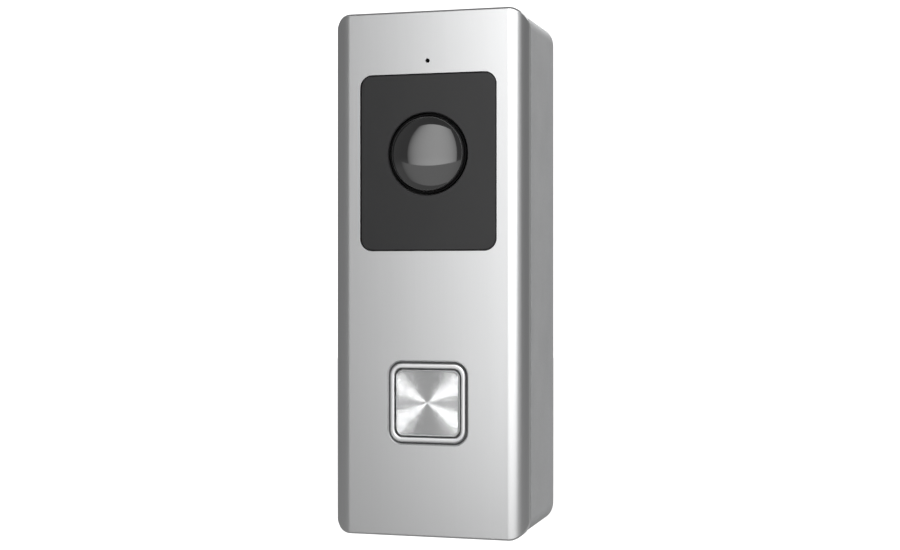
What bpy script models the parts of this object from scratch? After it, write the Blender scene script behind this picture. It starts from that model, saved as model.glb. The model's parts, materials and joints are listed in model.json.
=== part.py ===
"""Wired video doorbell on a wall bracket, in separate pieces.

The wall is the plane y = 0, the front faces -Y and +Z is up; x = 0 and z = 0 are the middle of the
case. Design values are millimetres and become metres when a mesh is made.
"""

import math

import bmesh
import bpy
from mathutils import Vector

for old in list(bpy.data.objects):
    bpy.data.objects.remove(old, do_unlink=True)

MM = 0.001
GAP = 0.3  # clearance between neighbouring pieces
MANY_BORES = ("rear_housing", "front_frame")  # pieces whose posts and bores the EXACT solver leaves open

# Case
WIDTH, HEIGHT, CORNER = 47.5, 124.0, 4.4
FRONT = -31.5  # front face of the cover
RIM = -1.0  # rear rim of the housing, just off the wall
SEAM = -26.7  # rear edge of the cover
COVER_WALL = 1.2
CASE_WALL = 2.0
END_STEP = 0.35  # how far the housing's two ends stand in from the cover's
FLOOR_FRONT, FLOOR_REAR = -8.0, -6.2  # the housing's partition
MOUTH_FLOOR = -23.4  # ledge inside the housing's mouth
FRAME_FRONT, FRAME_REAR = -30.0, -28.2  # plate of the front frame
FRAME_WALL = 1.4

# Window and camera
WINDOW_Z, WINDOW_WIDTH, WINDOW_HEIGHT, WINDOW_CORNER = 26.3, 33.5, 41.85, 3.0
WINDOW_FRONT, WINDOW_PLATE_REAR, WINDOW_REAR = -31.45, -29.6, -28.0
LENS_Z, LENS_HOLE = 28.3, 9.7
DOME_RADIUS, DOME_RISE, DOME_WALL = 8.65, 3.45, 1.2
DOME_APEX = -35.5
CARRIER_FRONT, CARRIER_REAR = -26.6, -25.4
CAMERA_BOARD_FRONT, CAMERA_BOARD_REAR = -20.1, -19.1
MIC_Z = 50.2
ILLUMINATOR_Z, LIGHT_SENSOR_Z = 11.2, 43.0
ILLUMINATOR_FRONT, ILLUMINATOR_REAR = -27.7, -26.9

# Button
BUTTON_Z = -30.4
GROOVE_WIDTH, GROOVE_HEIGHT, GROOVE_CORNER = 19.9, 20.1, 3.3
RING_WIDTH, RING_HEIGHT, RING_CORNER = 18.4, 18.6, 2.9
CAP_WIDTH, CAP_HEIGHT, CAP_CORNER = 15.7, 15.6, 1.9
CAP_FRONT = -31.8
SWITCH_FRONT, BUTTON_BOARD_FRONT, BUTTON_BOARD_REAR = -24.0, -20.6, -19.6

# Electronics
BOARD_FRONT, BOARD_REAR = -17.0, -15.8
BOARD_BOTTOM, BOARD_TOP, BOARD_WIDTH = -46.0, 52.8, 38.6
SPEAKER_Y = -17.0
SPEAKER_WIDTH, SPEAKER_DEPTH = 27.0, 13.0
TERMINAL_Z, TERMINAL_X = 15.0, 5.0
RESET_X, RESET_Z = 12.0, -25.0
COVER_SCREW_X, COVER_SCREW_Z = 17.2, 56.3
BOARD_POST_X, BOARD_POST_TOP, BOARD_POST_BOTTOM = 16.0, 49.0, -42.5
CARRIER_PIN_X, CARRIER_PIN_TOP, CARRIER_PIN_BOTTOM = 15.0, 51.2, 1.0
CAMERA_PIN = 10.4  # half the camera board's pin spacing
BUTTON_POST_X = 14.5

# Wall bracket
PLATE_FRONT = -1.6
PLATE_WIDTH, PLATE_HEIGHT, PLATE_CORNER = 41.0, 115.0, 3.0
TONGUE_WIDTH = 16.0
HOOK_Y, HOOK_Z = -2.45, 58.4  # the line the unit hangs and swings on
SECURITY_Y = -3.9
WIRE_HOLE_Z, WIRE_HOLE_WIDTH, WIRE_HOLE_HEIGHT = 17.0, 20.0, 22.0
WALL_HOLE_Z, WALL_HOLE_RADIUS = 43.0, 2.2


def paint(name, colour, roughness, metallic=0.0, alpha=1.0):
    """One Principled material for each finish."""
    material = bpy.data.materials.get(name) or bpy.data.materials.new(name)
    material.use_nodes = True
    shader = material.node_tree.nodes["Principled BSDF"]
    shader.inputs["Base Color"].default_value = (*colour, 1.0)
    shader.inputs["Roughness"].default_value = roughness
    shader.inputs["Metallic"].default_value = metallic
    shader.inputs["Alpha"].default_value = alpha
    return material


BRUSHED = paint("brushed_aluminium", (0.62, 0.63, 0.64), 0.34, 1.0)
SPUN = paint("spun_aluminium", (0.78, 0.79, 0.80), 0.24, 1.0)
SATIN_RING = paint("satin_silver_ring", (0.70, 0.70, 0.71), 0.3, 0.8)
CASE_PAINT = paint("silver_grey_case", (0.42, 0.43, 0.44), 0.45, 0.2)
SMOKED = paint("smoked_acrylic", (0.035, 0.035, 0.037), 0.08)
DOME_TINT = paint("smoked_dome", (0.10, 0.10, 0.105), 0.03, 0.0, 0.5)
BLACK_PLASTIC = paint("black_plastic", (0.012, 0.012, 0.012), 0.4)
WHITE_PLASTIC = paint("white_plastic", (0.75, 0.75, 0.73), 0.4)
RUBBER = paint("black_rubber", (0.03, 0.03, 0.03), 0.8)
COATED_GLASS = paint("coated_glass", (0.05, 0.06, 0.10), 0.02)
SENSOR = paint("sensor_glass", (0.10, 0.12, 0.16), 0.15)
CIRCUIT = paint("green_circuit_board", (0.02, 0.16, 0.07), 0.45)
CHIP = paint("chip_package", (0.03, 0.03, 0.032), 0.5)
TIN = paint("tinned_can", (0.65, 0.65, 0.62), 0.3, 1.0)
STEEL = paint("zinc_plated_steel", (0.55, 0.56, 0.58), 0.35, 1.0)
BLACK_STEEL = paint("black_steel", (0.03, 0.03, 0.03), 0.45, 0.6)
BRASS = paint("brass", (0.72, 0.53, 0.22), 0.35, 1.0)
POLYIMIDE = paint("amber_ribbon", (0.55, 0.26, 0.05), 0.4)
LED_CLEAR = paint("clear_led", (0.80, 0.82, 0.85), 0.15)
LED_DARK = paint("infrared_led", (0.06, 0.03, 0.08), 0.15)
SLEEVE = paint("blue_sleeve", (0.03, 0.08, 0.30), 0.35)


def anchor(name, x=0.0, y=0.0, z=0.0, parent=None):
    """An empty on a joint's axis, placed in millimetres."""
    empty = bpy.data.objects.new(name, None)
    bpy.context.scene.collection.objects.link(empty)
    empty["place"] = (x, y, z)
    empty.parent = parent
    base = Vector(parent["place"]) if parent else Vector((0.0, 0.0, 0.0))
    empty.location = (Vector((x, y, z)) - base) * MM
    return empty


def place(mesh_maker, name, material, parent, sharp_deg=30.0):
    """Turn a bmesh in world millimetres into an object that hangs on its parent."""
    bmesh.ops.remove_doubles(mesh_maker, verts=mesh_maker.verts, dist=1e-4)
    bmesh.ops.recalc_face_normals(mesh_maker, faces=mesh_maker.faces)
    base = Vector(parent["place"])
    for vertex in mesh_maker.verts:
        vertex.co = (vertex.co - base) * MM
    mesh = bpy.data.meshes.new(name)
    mesh_maker.to_mesh(mesh)
    mesh_maker.free()
    mesh.materials.append(material)
    mesh.shade_smooth()
    mesh.set_sharp_from_angle(angle=math.radians(sharp_deg))
    piece = bpy.data.objects.new(name, mesh)
    bpy.context.scene.collection.objects.link(piece)
    piece.parent = parent
    return piece


def shape(piece, operation, *tools):
    """Join or cut the piece with hidden tool bodies, one Boolean for each."""
    solver = "MANIFOLD" if piece.name in MANY_BORES else "EXACT"
    for index, tool in enumerate(tools):
        label = f"{piece.name}.{operation.lower()}_{len(piece.modifiers)}_{index}"
        body = place(tool, label, piece.data.materials[0], piece.parent)
        body.hide_render = True
        body.display_type = "WIRE"
        modifier = piece.modifiers.new(label, "BOOLEAN")
        modifier.operation = operation
        modifier.solver = solver
        modifier.object = body
    return piece


def cut(piece, *tools):
    return shape(piece, "DIFFERENCE", *tools)


def join(piece, *tools):
    return shape(piece, "UNION", *tools)


def at(axis, u, v, along):
    """World point from two in-plane values and one along the axis: Y uses (x, z), Z (x, y), X (y, z)."""
    if axis == "Y":
        return (u, along, v)
    if axis == "Z":
        return (u, v, along)
    return (along, u, v)


def rounded(width, height, corner, u=0.0, v=0.0, steps=3):
    """Outline of a rectangle with round corners."""
    points = []
    for quarter in range(4):
        turn = quarter * math.pi / 2
        side_u = 1 if quarter in (0, 3) else -1
        side_v = 1 if quarter in (0, 1) else -1
        centre_u = u + side_u * (width / 2 - corner)
        centre_v = v + side_v * (height / 2 - corner)
        for step in range(steps + 1):
            angle = turn + step * math.pi / 2 / steps
            points.append((centre_u + corner * math.cos(angle), centre_v + corner * math.sin(angle)))
    return points


def loft(rings):
    """Closed body through rings of world points, all of one length, with flat ends."""
    made = bmesh.new()
    loops = [[made.verts.new(point) for point in ring] for ring in rings]
    count = len(loops[0])
    for near, far in zip(loops, loops[1:]):
        for i in range(count):
            j = (i + 1) % count
            made.faces.new((near[i], near[j], far[j], far[i]))
    made.faces.new(loops[0])
    made.faces.new(list(reversed(loops[-1])))
    return made


def prism(outline, start, end, axis="Y"):
    return loft([[at(axis, u, v, along) for u, v in outline] for along in (start, end)])


def block(x0, x1, y0, y1, z0, z1):
    return prism([(x0, z0), (x1, z0), (x1, z1), (x0, z1)], y0, y1)


def turned(profile, u=0.0, v=0.0, axis="Y", steps=20):
    """Turn an open profile of (radius, along) points; it closes on the axis or back on itself."""
    made = bmesh.new()
    rings = []
    for radius, along in profile:
        if radius < 1e-6:
            rings.append([made.verts.new(at(axis, u, v, along))])
            continue
        ring = []
        for step in range(steps):
            angle = 2 * math.pi * step / steps
            point = at(axis, u + radius * math.cos(angle), v + radius * math.sin(angle), along)
            ring.append(made.verts.new(point))
        rings.append(ring)
    pairs = list(zip(rings, rings[1:]))
    if len(rings[0]) > 1:
        pairs.append((rings[-1], rings[0]))
    for near, far in pairs:
        for i in range(steps):
            j = (i + 1) % steps
            corners = [near[i % len(near)], near[j % len(near)], far[j % len(far)], far[i % len(far)]]
            unique = list(dict.fromkeys(corners))
            if len(unique) > 2:
                made.faces.new(unique)
    return made


def rod(radius, start, end, u=0.0, v=0.0, axis="Y", steps=16):
    return turned([(0, start), (radius, start), (radius, end), (0, end)], u, v, axis, steps)


def ring(inner, outer, start, end, u=0.0, v=0.0, axis="Y", steps=20):
    profile = [(inner, start), (outer, start), (outer, end), (inner, end)]
    return turned(profile, u, v, axis, steps)


def case_body(inset, front, rear, rolled=True, shorter=0.0, steps=6):
    """The case's rounded front view, with the long edges of the front face rolled back if asked."""
    half_width, half_height = WIDTH / 2 - inset, HEIGHT / 2 - inset - shorter
    radius = CORNER - inset
    stations = []
    for step in range(steps + 1):
        angle = step * math.pi / 2 / steps
        reach = half_width - radius + radius * math.sin(angle)
        fall = radius * (1 - math.cos(angle))
        stations.append((reach, front + (fall if rolled else 0.0), half_height - fall))
    stations = [(-x, y, z) for x, y, z in reversed(stations)] + stations
    return loft([[(x, y, -z), (x, rear, -z), (x, rear, z), (x, y, z)] for x, y, z in stations])


def sweep(points, radius, name, material, parent, resolution=1):
    """Round wire along smooth points, capped at both ends."""
    curve = bpy.data.curves.new(name, "CURVE")
    curve.dimensions = "3D"
    curve.bevel_depth = radius * MM
    curve.bevel_resolution = resolution
    curve.use_fill_caps = True
    spline = curve.splines.new("POLY")
    spline.points.add(len(points) - 1)
    base = Vector(parent["place"])
    for spot, point in zip(spline.points, points):
        spot.co = (*((Vector(point) - base) * MM), 1.0)
    curve.materials.append(material)
    wire = bpy.data.objects.new(name, curve)
    bpy.context.scene.collection.objects.link(wire)
    wire.parent = parent
    return wire


def bezier(start, lead_in, lead_out, end, steps):
    """Points along one cubic curve."""
    points = []
    for step in range(steps + 1):
        t = step / steps
        weights = ((1 - t) ** 3, 3 * t * (1 - t) ** 2, 3 * t * t * (1 - t), t ** 3)
        spots = (start, lead_in, lead_out, end)
        points.append(tuple(sum(w * p[k] for w, p in zip(weights, spots)) for k in range(len(start))))
    return points


def ribbon(path, thickness, x0, x1):
    """Flat cable: a path of (y, z) points given a thickness and a width along X."""
    one_side, other_side = [], []
    for i, (y, z) in enumerate(path):
        before, after = path[max(i - 1, 0)], path[min(i + 1, len(path) - 1)]
        run = Vector((after[0] - before[0], after[1] - before[1])).normalized()
        offset = Vector((-run.y, run.x)) * thickness / 2
        one_side.append((y + offset.x, z + offset.y))
        other_side.append((y - offset.x, z - offset.y))
    return prism(one_side + other_side[::-1], x0, x1, "X")


def cross(size, width, start, end, u=0.0, v=0.0, axis="Y"):
    """Cross recess of a screw head."""
    s, w = size / 2, width / 2
    outline = [(w, w), (w, s), (-w, s), (-w, w), (-s, w), (-s, -w),
               (-w, -w), (-w, -s), (w, -s), (w, -w), (s, -w), (s, w)]
    return prism([(u + a, v + b) for a, b in outline], start, end, axis)


def screw(name, head, shank, seat, crown, tip, u, v, parent, material=STEEL, axis="Y"):
    """Pan-head screw: seat is under the head, crown its top, tip the shank's end."""
    rise = (crown - seat) / abs(crown - seat)
    point = shank * 0.6
    profile = [(0, crown), (head * 0.6, crown), (head, crown - rise * 0.5), (head, seat), (shank, seat),
               (shank, tip + rise * point), (shank - point, tip), (0, tip)]
    body = place(turned(profile, u, v, axis, 10), name, material, parent)
    depth = 0.7
    return cut(body, cross(head * 1.1, 0.5, crown - rise * depth, crown + rise, u, v, axis))


# Joint axes: the bracket is fixed, the unit hangs on it and carries every other moving piece.
wall = anchor("wall")
unit = anchor("unit_pivot", 0.0, HOOK_Y, HOOK_Z, wall)
button_axis = anchor("button_axis", 0.0, CAP_FRONT, BUTTON_Z, unit)
switch_axis = anchor("switch_axis", 0.0, SWITCH_FRONT, BUTTON_Z, unit)
reset_axis = anchor("reset_axis", RESET_X, FLOOR_REAR, RESET_Z, unit)
security_axis = anchor("security_axis", 0.0, SECURITY_Y, -HEIGHT / 2, unit)


def wall_bracket():
    """Pressed steel plate with a tongue at the top, a tab at the foot and stiffening side flanges."""
    half_width, half_height = PLATE_WIDTH / 2, PLATE_HEIGHT / 2
    tongue = TONGUE_WIDTH / 2
    plate = place(prism(rounded(PLATE_WIDTH, PLATE_HEIGHT, PLATE_CORNER), PLATE_FRONT, 0),
                  "wall_bracket", STEEL, wall)
    base = block(-tongue, tongue, -4.5, 0, HOOK_Z - 1.5, HOOK_Z - GAP)
    tip = block(-tongue, tongue, -4.5, -3.3, HOOK_Z - 1.0, HOOK_Z + 1.0)
    tab = block(-6, 6, -5.5, -0.6, -half_height, -half_height + 1.2)
    flanges = [block(*sorted((side * half_width, side * (half_width - 1.2))), -3.6, -0.8, -48, 48)
               for side in (-1, 1)]
    join(plate, base, tip, tab, *flanges)
    holes = [rod(WALL_HOLE_RADIUS, -3, 1, 0, z) for z in (-WALL_HOLE_Z, WALL_HOLE_Z)]
    wire = prism(rounded(WIRE_HOLE_WIDTH, WIRE_HOLE_HEIGHT, 3, 0, WIRE_HOLE_Z), -3, 1)
    lightening = prism(rounded(14, 18, 3, 0, -22), -3, 1)
    lock = rod(1.4, -half_height - 1, -half_height + 3, 0, SECURITY_Y, "Z", 16)
    cut(plate, wire, lightening, lock, *holes)


def rear_housing():
    """Moulded shell: front cavity for the boards, partition, and a rear recess for the bracket."""
    outside = case_body(0, SEAM + GAP, RIM, False, END_STEP)
    shell = place(outside, "rear_housing", CASE_PAINT, unit)
    cavity = case_body(CASE_WALL, SEAM - 1, FLOOR_FRONT, False)
    mouth = case_body(COVER_WALL, SEAM - 1, MOUTH_FLOOR, False)
    recess = case_body(CASE_WALL, FLOOR_REAR, RIM + 1, False)
    cut(shell, cavity, mouth, recess)
    posts = [rod(2.8, FLOOR_FRONT + 0.5, -17.5, x, z, steps=12)
             for x in (-COVER_SCREW_X, COVER_SCREW_X) for z in (-COVER_SCREW_Z, COVER_SCREW_Z)]
    standoffs = [rod(2.4, FLOOR_FRONT + 0.5, BOARD_REAR + GAP, x, z, steps=12)
                 for x in (-BOARD_POST_X, BOARD_POST_X) for z in (BOARD_POST_BOTTOM, BOARD_POST_TOP)]
    hang_rib = block(-9, 9, -3.0, -1.9, HOOK_Z, HEIGHT / 2 - 1)
    lock_pad = block(-4, 4, FLOOR_REAR - 0.2, -1.5, -HEIGHT / 2 + 1, -59.2)
    join(shell, *posts, *standoffs, hang_rib, lock_pad)
    screw_holes = [rod(1.3, -3, -19, x, z, steps=8)
                   for x in (-COVER_SCREW_X, COVER_SCREW_X) for z in (-COVER_SCREW_Z, COVER_SCREW_Z)]
    board_bores = [rod(1.1, -10, -17, x, z, steps=8) for x, z in board_screw_spots()]
    terminal_hole = prism(rounded(18.6, 10.6, 0.5, 0, TERMINAL_Z, 2), -3, -9)
    reset_hole = rod(1.8, -3, -9, RESET_X, RESET_Z, steps=12)
    security_hole = rod(1.3, -63, -58, 0, SECURITY_Y, "Z", 12)
    security_seat = rod(2.3, -63, -60.1, 0, SECURITY_Y, "Z", 16)
    slots = [prism(rounded(1.4, 9, 0.65, x, SPEAKER_Y, 2), -63, -59, "Z") for x in (-8, -4, 0, 4, 8)]
    cut(shell, *screw_holes, *board_bores, terminal_hole, reset_hole, security_hole, security_seat,
        *slots)


def board_screw_spots():
    return [(-BOARD_POST_X, BOARD_POST_TOP), (BOARD_POST_X, BOARD_POST_BOTTOM)]


def front_cover():
    """Brushed aluminium tray with the window, button and microphone openings."""
    cover = place(case_body(0, FRONT, SEAM), "front_cover", BRUSHED, unit)
    inside = case_body(COVER_WALL, FRONT + COVER_WALL, SEAM + 1)
    window = prism(rounded(WINDOW_WIDTH, WINDOW_HEIGHT, WINDOW_CORNER, 0, WINDOW_Z, 8), -33, -29)
    button = prism(rounded(GROOVE_WIDTH, GROOVE_HEIGHT, GROOVE_CORNER, 0, BUTTON_Z, 8), -33, -29)
    pinhole = rod(0.52, -33, -29, 0, MIC_Z, steps=16)
    cut(cover, inside, window, button, pinhole)


def front_frame():
    """Plastic chassis behind the cover; it carries the window, the button and both small boards."""
    body = case_body(COVER_WALL + GAP, FRAME_FRONT, SEAM + 1.7)
    frame = place(body, "front_frame", BLACK_PLASTIC, unit)
    inside = case_body(COVER_WALL + GAP + FRAME_WALL, FRAME_REAR, SEAM + 3, False)
    window = prism(rounded(36.0, 44.35, 3.2, 0, WINDOW_Z), -31, -27)
    button = prism(rounded(22.5, 22.7, 3.7, 0, BUTTON_Z), -31, -27)
    pinhole = rod(0.8, -31, -27, 0, MIC_Z, steps=16)
    cut(frame, inside, window, button, pinhole)
    bosses = [rod(2.6, FRAME_REAR - 0.5, -17.8, x, z, steps=12)
              for x in (-COVER_SCREW_X, COVER_SCREW_X) for z in (-COVER_SCREW_Z, COVER_SCREW_Z)]
    stakes = [stake(FRAME_REAR - 0.5, CARRIER_FRONT - GAP, CARRIER_REAR, x, z)
              for x in (-CARRIER_PIN_X, CARRIER_PIN_X) for z in (CARRIER_PIN_BOTTOM, CARRIER_PIN_TOP)]
    posts = [stake(FRAME_REAR - 0.5, BUTTON_BOARD_FRONT - GAP, BUTTON_BOARD_REAR, x, BUTTON_Z)
             for x in (-BUTTON_POST_X, BUTTON_POST_X)]
    join(frame, *bosses, *stakes, *posts)
    cut(frame, *[rod(1.3, -27, -17, x, z, steps=8)
                 for x in (-COVER_SCREW_X, COVER_SCREW_X) for z in (-COVER_SCREW_Z, COVER_SCREW_Z)])


def stake(start, shoulder, board_rear, x, z, body=2.2, pin=0.9, head=1.6):
    """Post with a pin through a board and a heat-formed head behind it."""
    seat = board_rear + GAP
    profile = [(0, start), (body, start), (body, shoulder), (pin, shoulder), (pin, seat), (head, seat),
               (head, seat + 0.4), (head * 0.6, seat + 0.7), (0, seat + 0.7)]
    return turned(profile, x, z, "Y", 8)


def housing_gasket():
    """Rubber cord squeezed between the frame's rim and the housing's ledge."""
    outer, inner = COVER_WALL + GAP, COVER_WALL + GAP + 0.8
    cord = case_body(outer, MOUTH_FLOOR - 1.3, MOUTH_FLOOR - GAP, False)
    seal = place(cord, "housing_gasket", RUBBER, unit)
    cut(seal, case_body(inner, MOUTH_FLOOR - 3, MOUTH_FLOOR + 1, False))


def camera_window():
    """Smoked acrylic panel with a flange behind the cover, a rear pocket and the lens opening."""
    flange_front = WINDOW_REAR - 1.2
    width, height = WINDOW_WIDTH - 0.5, WINDOW_HEIGHT - 0.5
    outline = rounded(width, height, WINDOW_CORNER - 0.25, 0, WINDOW_Z, 8)
    panel = place(prism(outline, WINDOW_FRONT, flange_front + 0.4), "camera_window", SMOKED, unit)
    flange = rounded(width + 2.4, height + 2.4, WINDOW_CORNER, 0, WINDOW_Z)
    join(panel, prism(flange, flange_front, WINDOW_REAR))
    pocket = prism(rounded(width - 4, height - 4, 2, 0, WINDOW_Z), WINDOW_PLATE_REAR, WINDOW_REAR + 1)
    cut(panel, pocket, rod(LENS_HOLE, -33, -27, 0, LENS_Z, steps=32))


def window_gasket():
    """Foam tape frame between the window's flange and the cover."""
    width, height = WINDOW_WIDTH + 1.8, WINDOW_HEIGHT + 1.8
    outline = rounded(width, height, 3.5, 0, WINDOW_Z)
    tape = place(prism(outline, -30.0, -29.5), "window_gasket", RUBBER, unit)
    cut(tape, prism(rounded(WINDOW_WIDTH + 0.2, WINDOW_HEIGHT + 0.2, 3, 0, WINDOW_Z), -31, -28))


def lens_parts():
    """Bezel, smoked dome, its seal, the barrel with its front glass, and the holder."""
    bezel = [(8.95, -31.2), (9.4, -31.2), (9.4, -29.3), (11.5, -29.3), (11.5, -28.6), (8.95, -28.6)]
    place(turned(bezel, 0, LENS_Z, steps=32), "lens_bezel", BLACK_PLASTIC, unit)

    sphere = (DOME_RADIUS ** 2 + DOME_RISE ** 2) / (2 * DOME_RISE)
    centre = DOME_APEX + sphere
    hollow = sphere - DOME_WALL
    bore = DOME_RADIUS - DOME_WALL
    rim_angle, bore_angle = math.asin(DOME_RADIUS / sphere), math.asin(bore / hollow)
    steps = 5
    rims = [rim_angle * i / steps for i in range(steps + 1)]
    bores = [bore_angle * i / steps for i in range(steps + 1)]
    outside = [(sphere * math.sin(a), centre - sphere * math.cos(a)) for a in rims]
    inside = [(hollow * math.sin(a), centre - hollow * math.cos(a)) for a in bores]
    flange = [(DOME_RADIUS, -28.3), (10.4, -28.3), (10.4, -27.7), (bore, -27.7)]
    place(turned(outside + flange + inside[::-1], 0, LENS_Z, steps=32), "lens_dome", DOME_TINT, unit)

    place(ring(8.2, 10.2, -27.4, -26.9, 0, LENS_Z), "dome_seal", RUBBER, unit)

    barrel = [(4.0, -22.5), (4.0, -30.5), (6.2, -30.5), (6.2, -31.6), (6.6, -31.6), (6.6, -22.5)]
    place(turned(barrel, 0, LENS_Z), "lens_barrel", BLACK_PLASTIC, unit)

    glass_radius, edge = 5.9, -31.2
    rise = 1.4
    curve = (glass_radius ** 2 + rise ** 2) / (2 * rise)
    half_angle = math.asin(glass_radius / curve)
    angles = [half_angle * i / steps for i in range(steps + 1)]
    front = [(curve * math.sin(a), edge - rise + curve * (1 - math.cos(a))) for a in angles]
    glass = [*front, (glass_radius, -30.8), (0, -30.8)]
    place(turned(glass, 0, LENS_Z), "lens_element", COATED_GLASS, unit)

    box = prism(rounded(17, 17, 1.5, 0, LENS_Z, 3), -25.0, -20.4)
    holder = place(box, "lens_holder", BLACK_PLASTIC, unit)
    sensor_room = block(-5, 5, -22, -19, LENS_Z - 5, LENS_Z + 5)
    cut(holder, rod(6.9, -26, -21.6, 0, LENS_Z, steps=32), sensor_room)


def window_carrier():
    """Plate that clamps the dome and holds the camera and light boards behind the window."""
    bottom, top = -1.6, 53.0
    middle = (bottom + top) / 2
    plate = place(prism(rounded(39, top - bottom, 2, 0, middle), CARRIER_FRONT, CARRIER_REAR),
                  "window_carrier", BLACK_PLASTIC, unit)
    start, shoulder = CARRIER_REAR - 0.5, CAMERA_BOARD_FRONT - GAP
    join(plate, *[stake(start, shoulder, CAMERA_BOARD_REAR, x, LENS_Z + z, 1.6, 0.7, 1.1)
                  for x in (-CAMERA_PIN, CAMERA_PIN) for z in (-CAMERA_PIN, CAMERA_PIN)])
    pins = [rod(1.2, -28, -24, x, z, steps=12)
            for x in (-CARRIER_PIN_X, CARRIER_PIN_X) for z in (CARRIER_PIN_BOTTOM, CARRIER_PIN_TOP)]
    mic_notch = block(-3.6, 3.6, -28, -24, MIC_Z - 3.5, top + 1)
    cut(plate, rod(7.2, -28, -24, 0, LENS_Z, steps=32), mic_notch, *pins)


def camera_boards():
    """Camera board with its sensor, and the two strips that look out through the window."""
    board = place(prism(rounded(25, 25, 1, 0, LENS_Z, 2), CAMERA_BOARD_FRONT, CAMERA_BOARD_REAR),
                  "camera_board", CIRCUIT, unit)
    cut(board, *[rod(1.0, -21, -18, x, LENS_Z + z, steps=16)
                 for x in (-CAMERA_PIN, CAMERA_PIN) for z in (-CAMERA_PIN, CAMERA_PIN)])
    place(block(-3.5, 3.5, -21.3, -20.4, LENS_Z - 3.5, LENS_Z + 3.5), "image_sensor", SENSOR, unit)

    front, rear = ILLUMINATOR_FRONT, ILLUMINATOR_REAR
    strip = block(-11, 11, front, rear, ILLUMINATOR_Z - 3.5, ILLUMINATOR_Z + 3.5)
    place(strip, "illuminator_board", CIRCUIT, unit)
    for number, x in enumerate((-8, 0, 8), 1):
        lamp = [(0, -29.3), (0.8, -29.2), (1.2, -28.9), (1.2, -28.4), (1.5, -28.4), (1.5, -28.0),
                (0, -28.0)]
        place(turned(lamp, x, ILLUMINATOR_Z, steps=10), f"infrared_led_{number}", LED_DARK, unit)

    strip = block(-7, 7, front, rear, LIGHT_SENSOR_Z - 2.6, LIGHT_SENSOR_Z + 2.6)
    place(strip, "light_sensor_board", CIRCUIT, unit)
    sensor = block(-1.2, 1.2, front - 1.3, front - GAP, LIGHT_SENSOR_Z - 0.6, LIGHT_SENSOR_Z + 1.8)
    place(sensor, "light_sensor", CHIP, unit)


def microphone_parts():
    """Capsule in a rubber cup behind the pinhole."""
    cup = [(0.7, -27.7), (3.0, -27.7), (3.0, -25.0), (2.4, -25.0), (2.4, -26.9), (0.7, -26.9)]
    place(turned(cup, 0, MIC_Z, steps=16), "microphone_boot", RUBBER, unit)
    place(rod(2.1, -26.6, -24.8, 0, MIC_Z), "microphone", TIN, unit)


def button_parts():
    """Ring, cap, plunger, return spring and the tact switch on its board."""
    flange = prism(rounded(21.9, 22.1, 3.6, 0, BUTTON_Z), -30.0, -28.8)
    bezel = place(flange, "button_bezel", SATIN_RING, unit)
    join(bezel, prism(rounded(RING_WIDTH, RING_HEIGHT, RING_CORNER, 0, BUTTON_Z, 8), FRONT - 0.2, -29.0))
    well = rounded(CAP_WIDTH + 0.6, CAP_HEIGHT + 0.6, CAP_CORNER + 0.25, 0, BUTTON_Z, 8)
    cut(bezel, prism(well, -33, -28))

    slope = 0.35
    face = rounded(CAP_WIDTH - 2 * slope, CAP_HEIGHT - 2 * slope, CAP_CORNER - slope, 0, BUTTON_Z, 8)
    side = rounded(CAP_WIDTH, CAP_HEIGHT, CAP_CORNER, 0, BUTTON_Z, 8)
    levels = ((face, CAP_FRONT), (side, CAP_FRONT + slope), (side, -30.6))
    cap = loft([[at("Y", u, v, y) for u, v in outline] for outline, y in levels])
    place(cap, "button_cap", SPUN, button_axis)

    plunger = place(prism(rounded(15.0, 14.9, 1.2, 0, BUTTON_Z, 4), -30.3, -27.9), "button_plunger",
                    WHITE_PLASTIC, button_axis)
    join(plunger, prism(rounded(17.8, 17.7, 1.5, 0, BUTTON_Z, 4), -28.4, -27.4),
         rod(2.2, -27.8, SWITCH_FRONT - 1.0, 0, BUTTON_Z))

    coil, wire, turns, around = 5.1, 0.3, 4, 12
    start, end = -27.1 + wire, BUTTON_BOARD_FRONT - GAP - wire
    helix = []
    for i in range(turns * around + 1):
        angle = 2 * math.pi * i / around
        along = start + (end - start) * i / (turns * around)
        helix.append((coil * math.cos(angle), along, BUTTON_Z + coil * math.sin(angle)))
    sweep(helix, wire, "return_spring", STEEL, unit, 0)

    body = place(block(-3, 3, SWITCH_FRONT, BUTTON_BOARD_FRONT - GAP, BUTTON_Z - 3, BUTTON_Z + 3),
                 "switch_body", BLACK_PLASTIC, unit)
    cut(body, rod(2.05, SWITCH_FRONT - 1, SWITCH_FRONT + 2.1, 0, BUTTON_Z))
    place(rod(1.75, SWITCH_FRONT - 0.7, SWITCH_FRONT + 1.1, 0, BUTTON_Z), "switch_plunger",
          WHITE_PLASTIC, switch_axis)

    board = place(prism(rounded(34, 16, 1, 0, BUTTON_Z, 2), BUTTON_BOARD_FRONT, BUTTON_BOARD_REAR),
                  "button_board", CIRCUIT, unit)
    cut(board, *[rod(1.2, -22, -18, x, BUTTON_Z, steps=16) for x in (-BUTTON_POST_X, BUTTON_POST_X)])
    for number, x in enumerate((-8.8, 8.8), 1):
        place(block(x - 0.8, x + 0.8, -21.7, BUTTON_BOARD_FRONT - GAP, BUTTON_Z - 0.8, BUTTON_Z + 0.8),
              f"ring_led_{number}", LED_CLEAR, unit)


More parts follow.
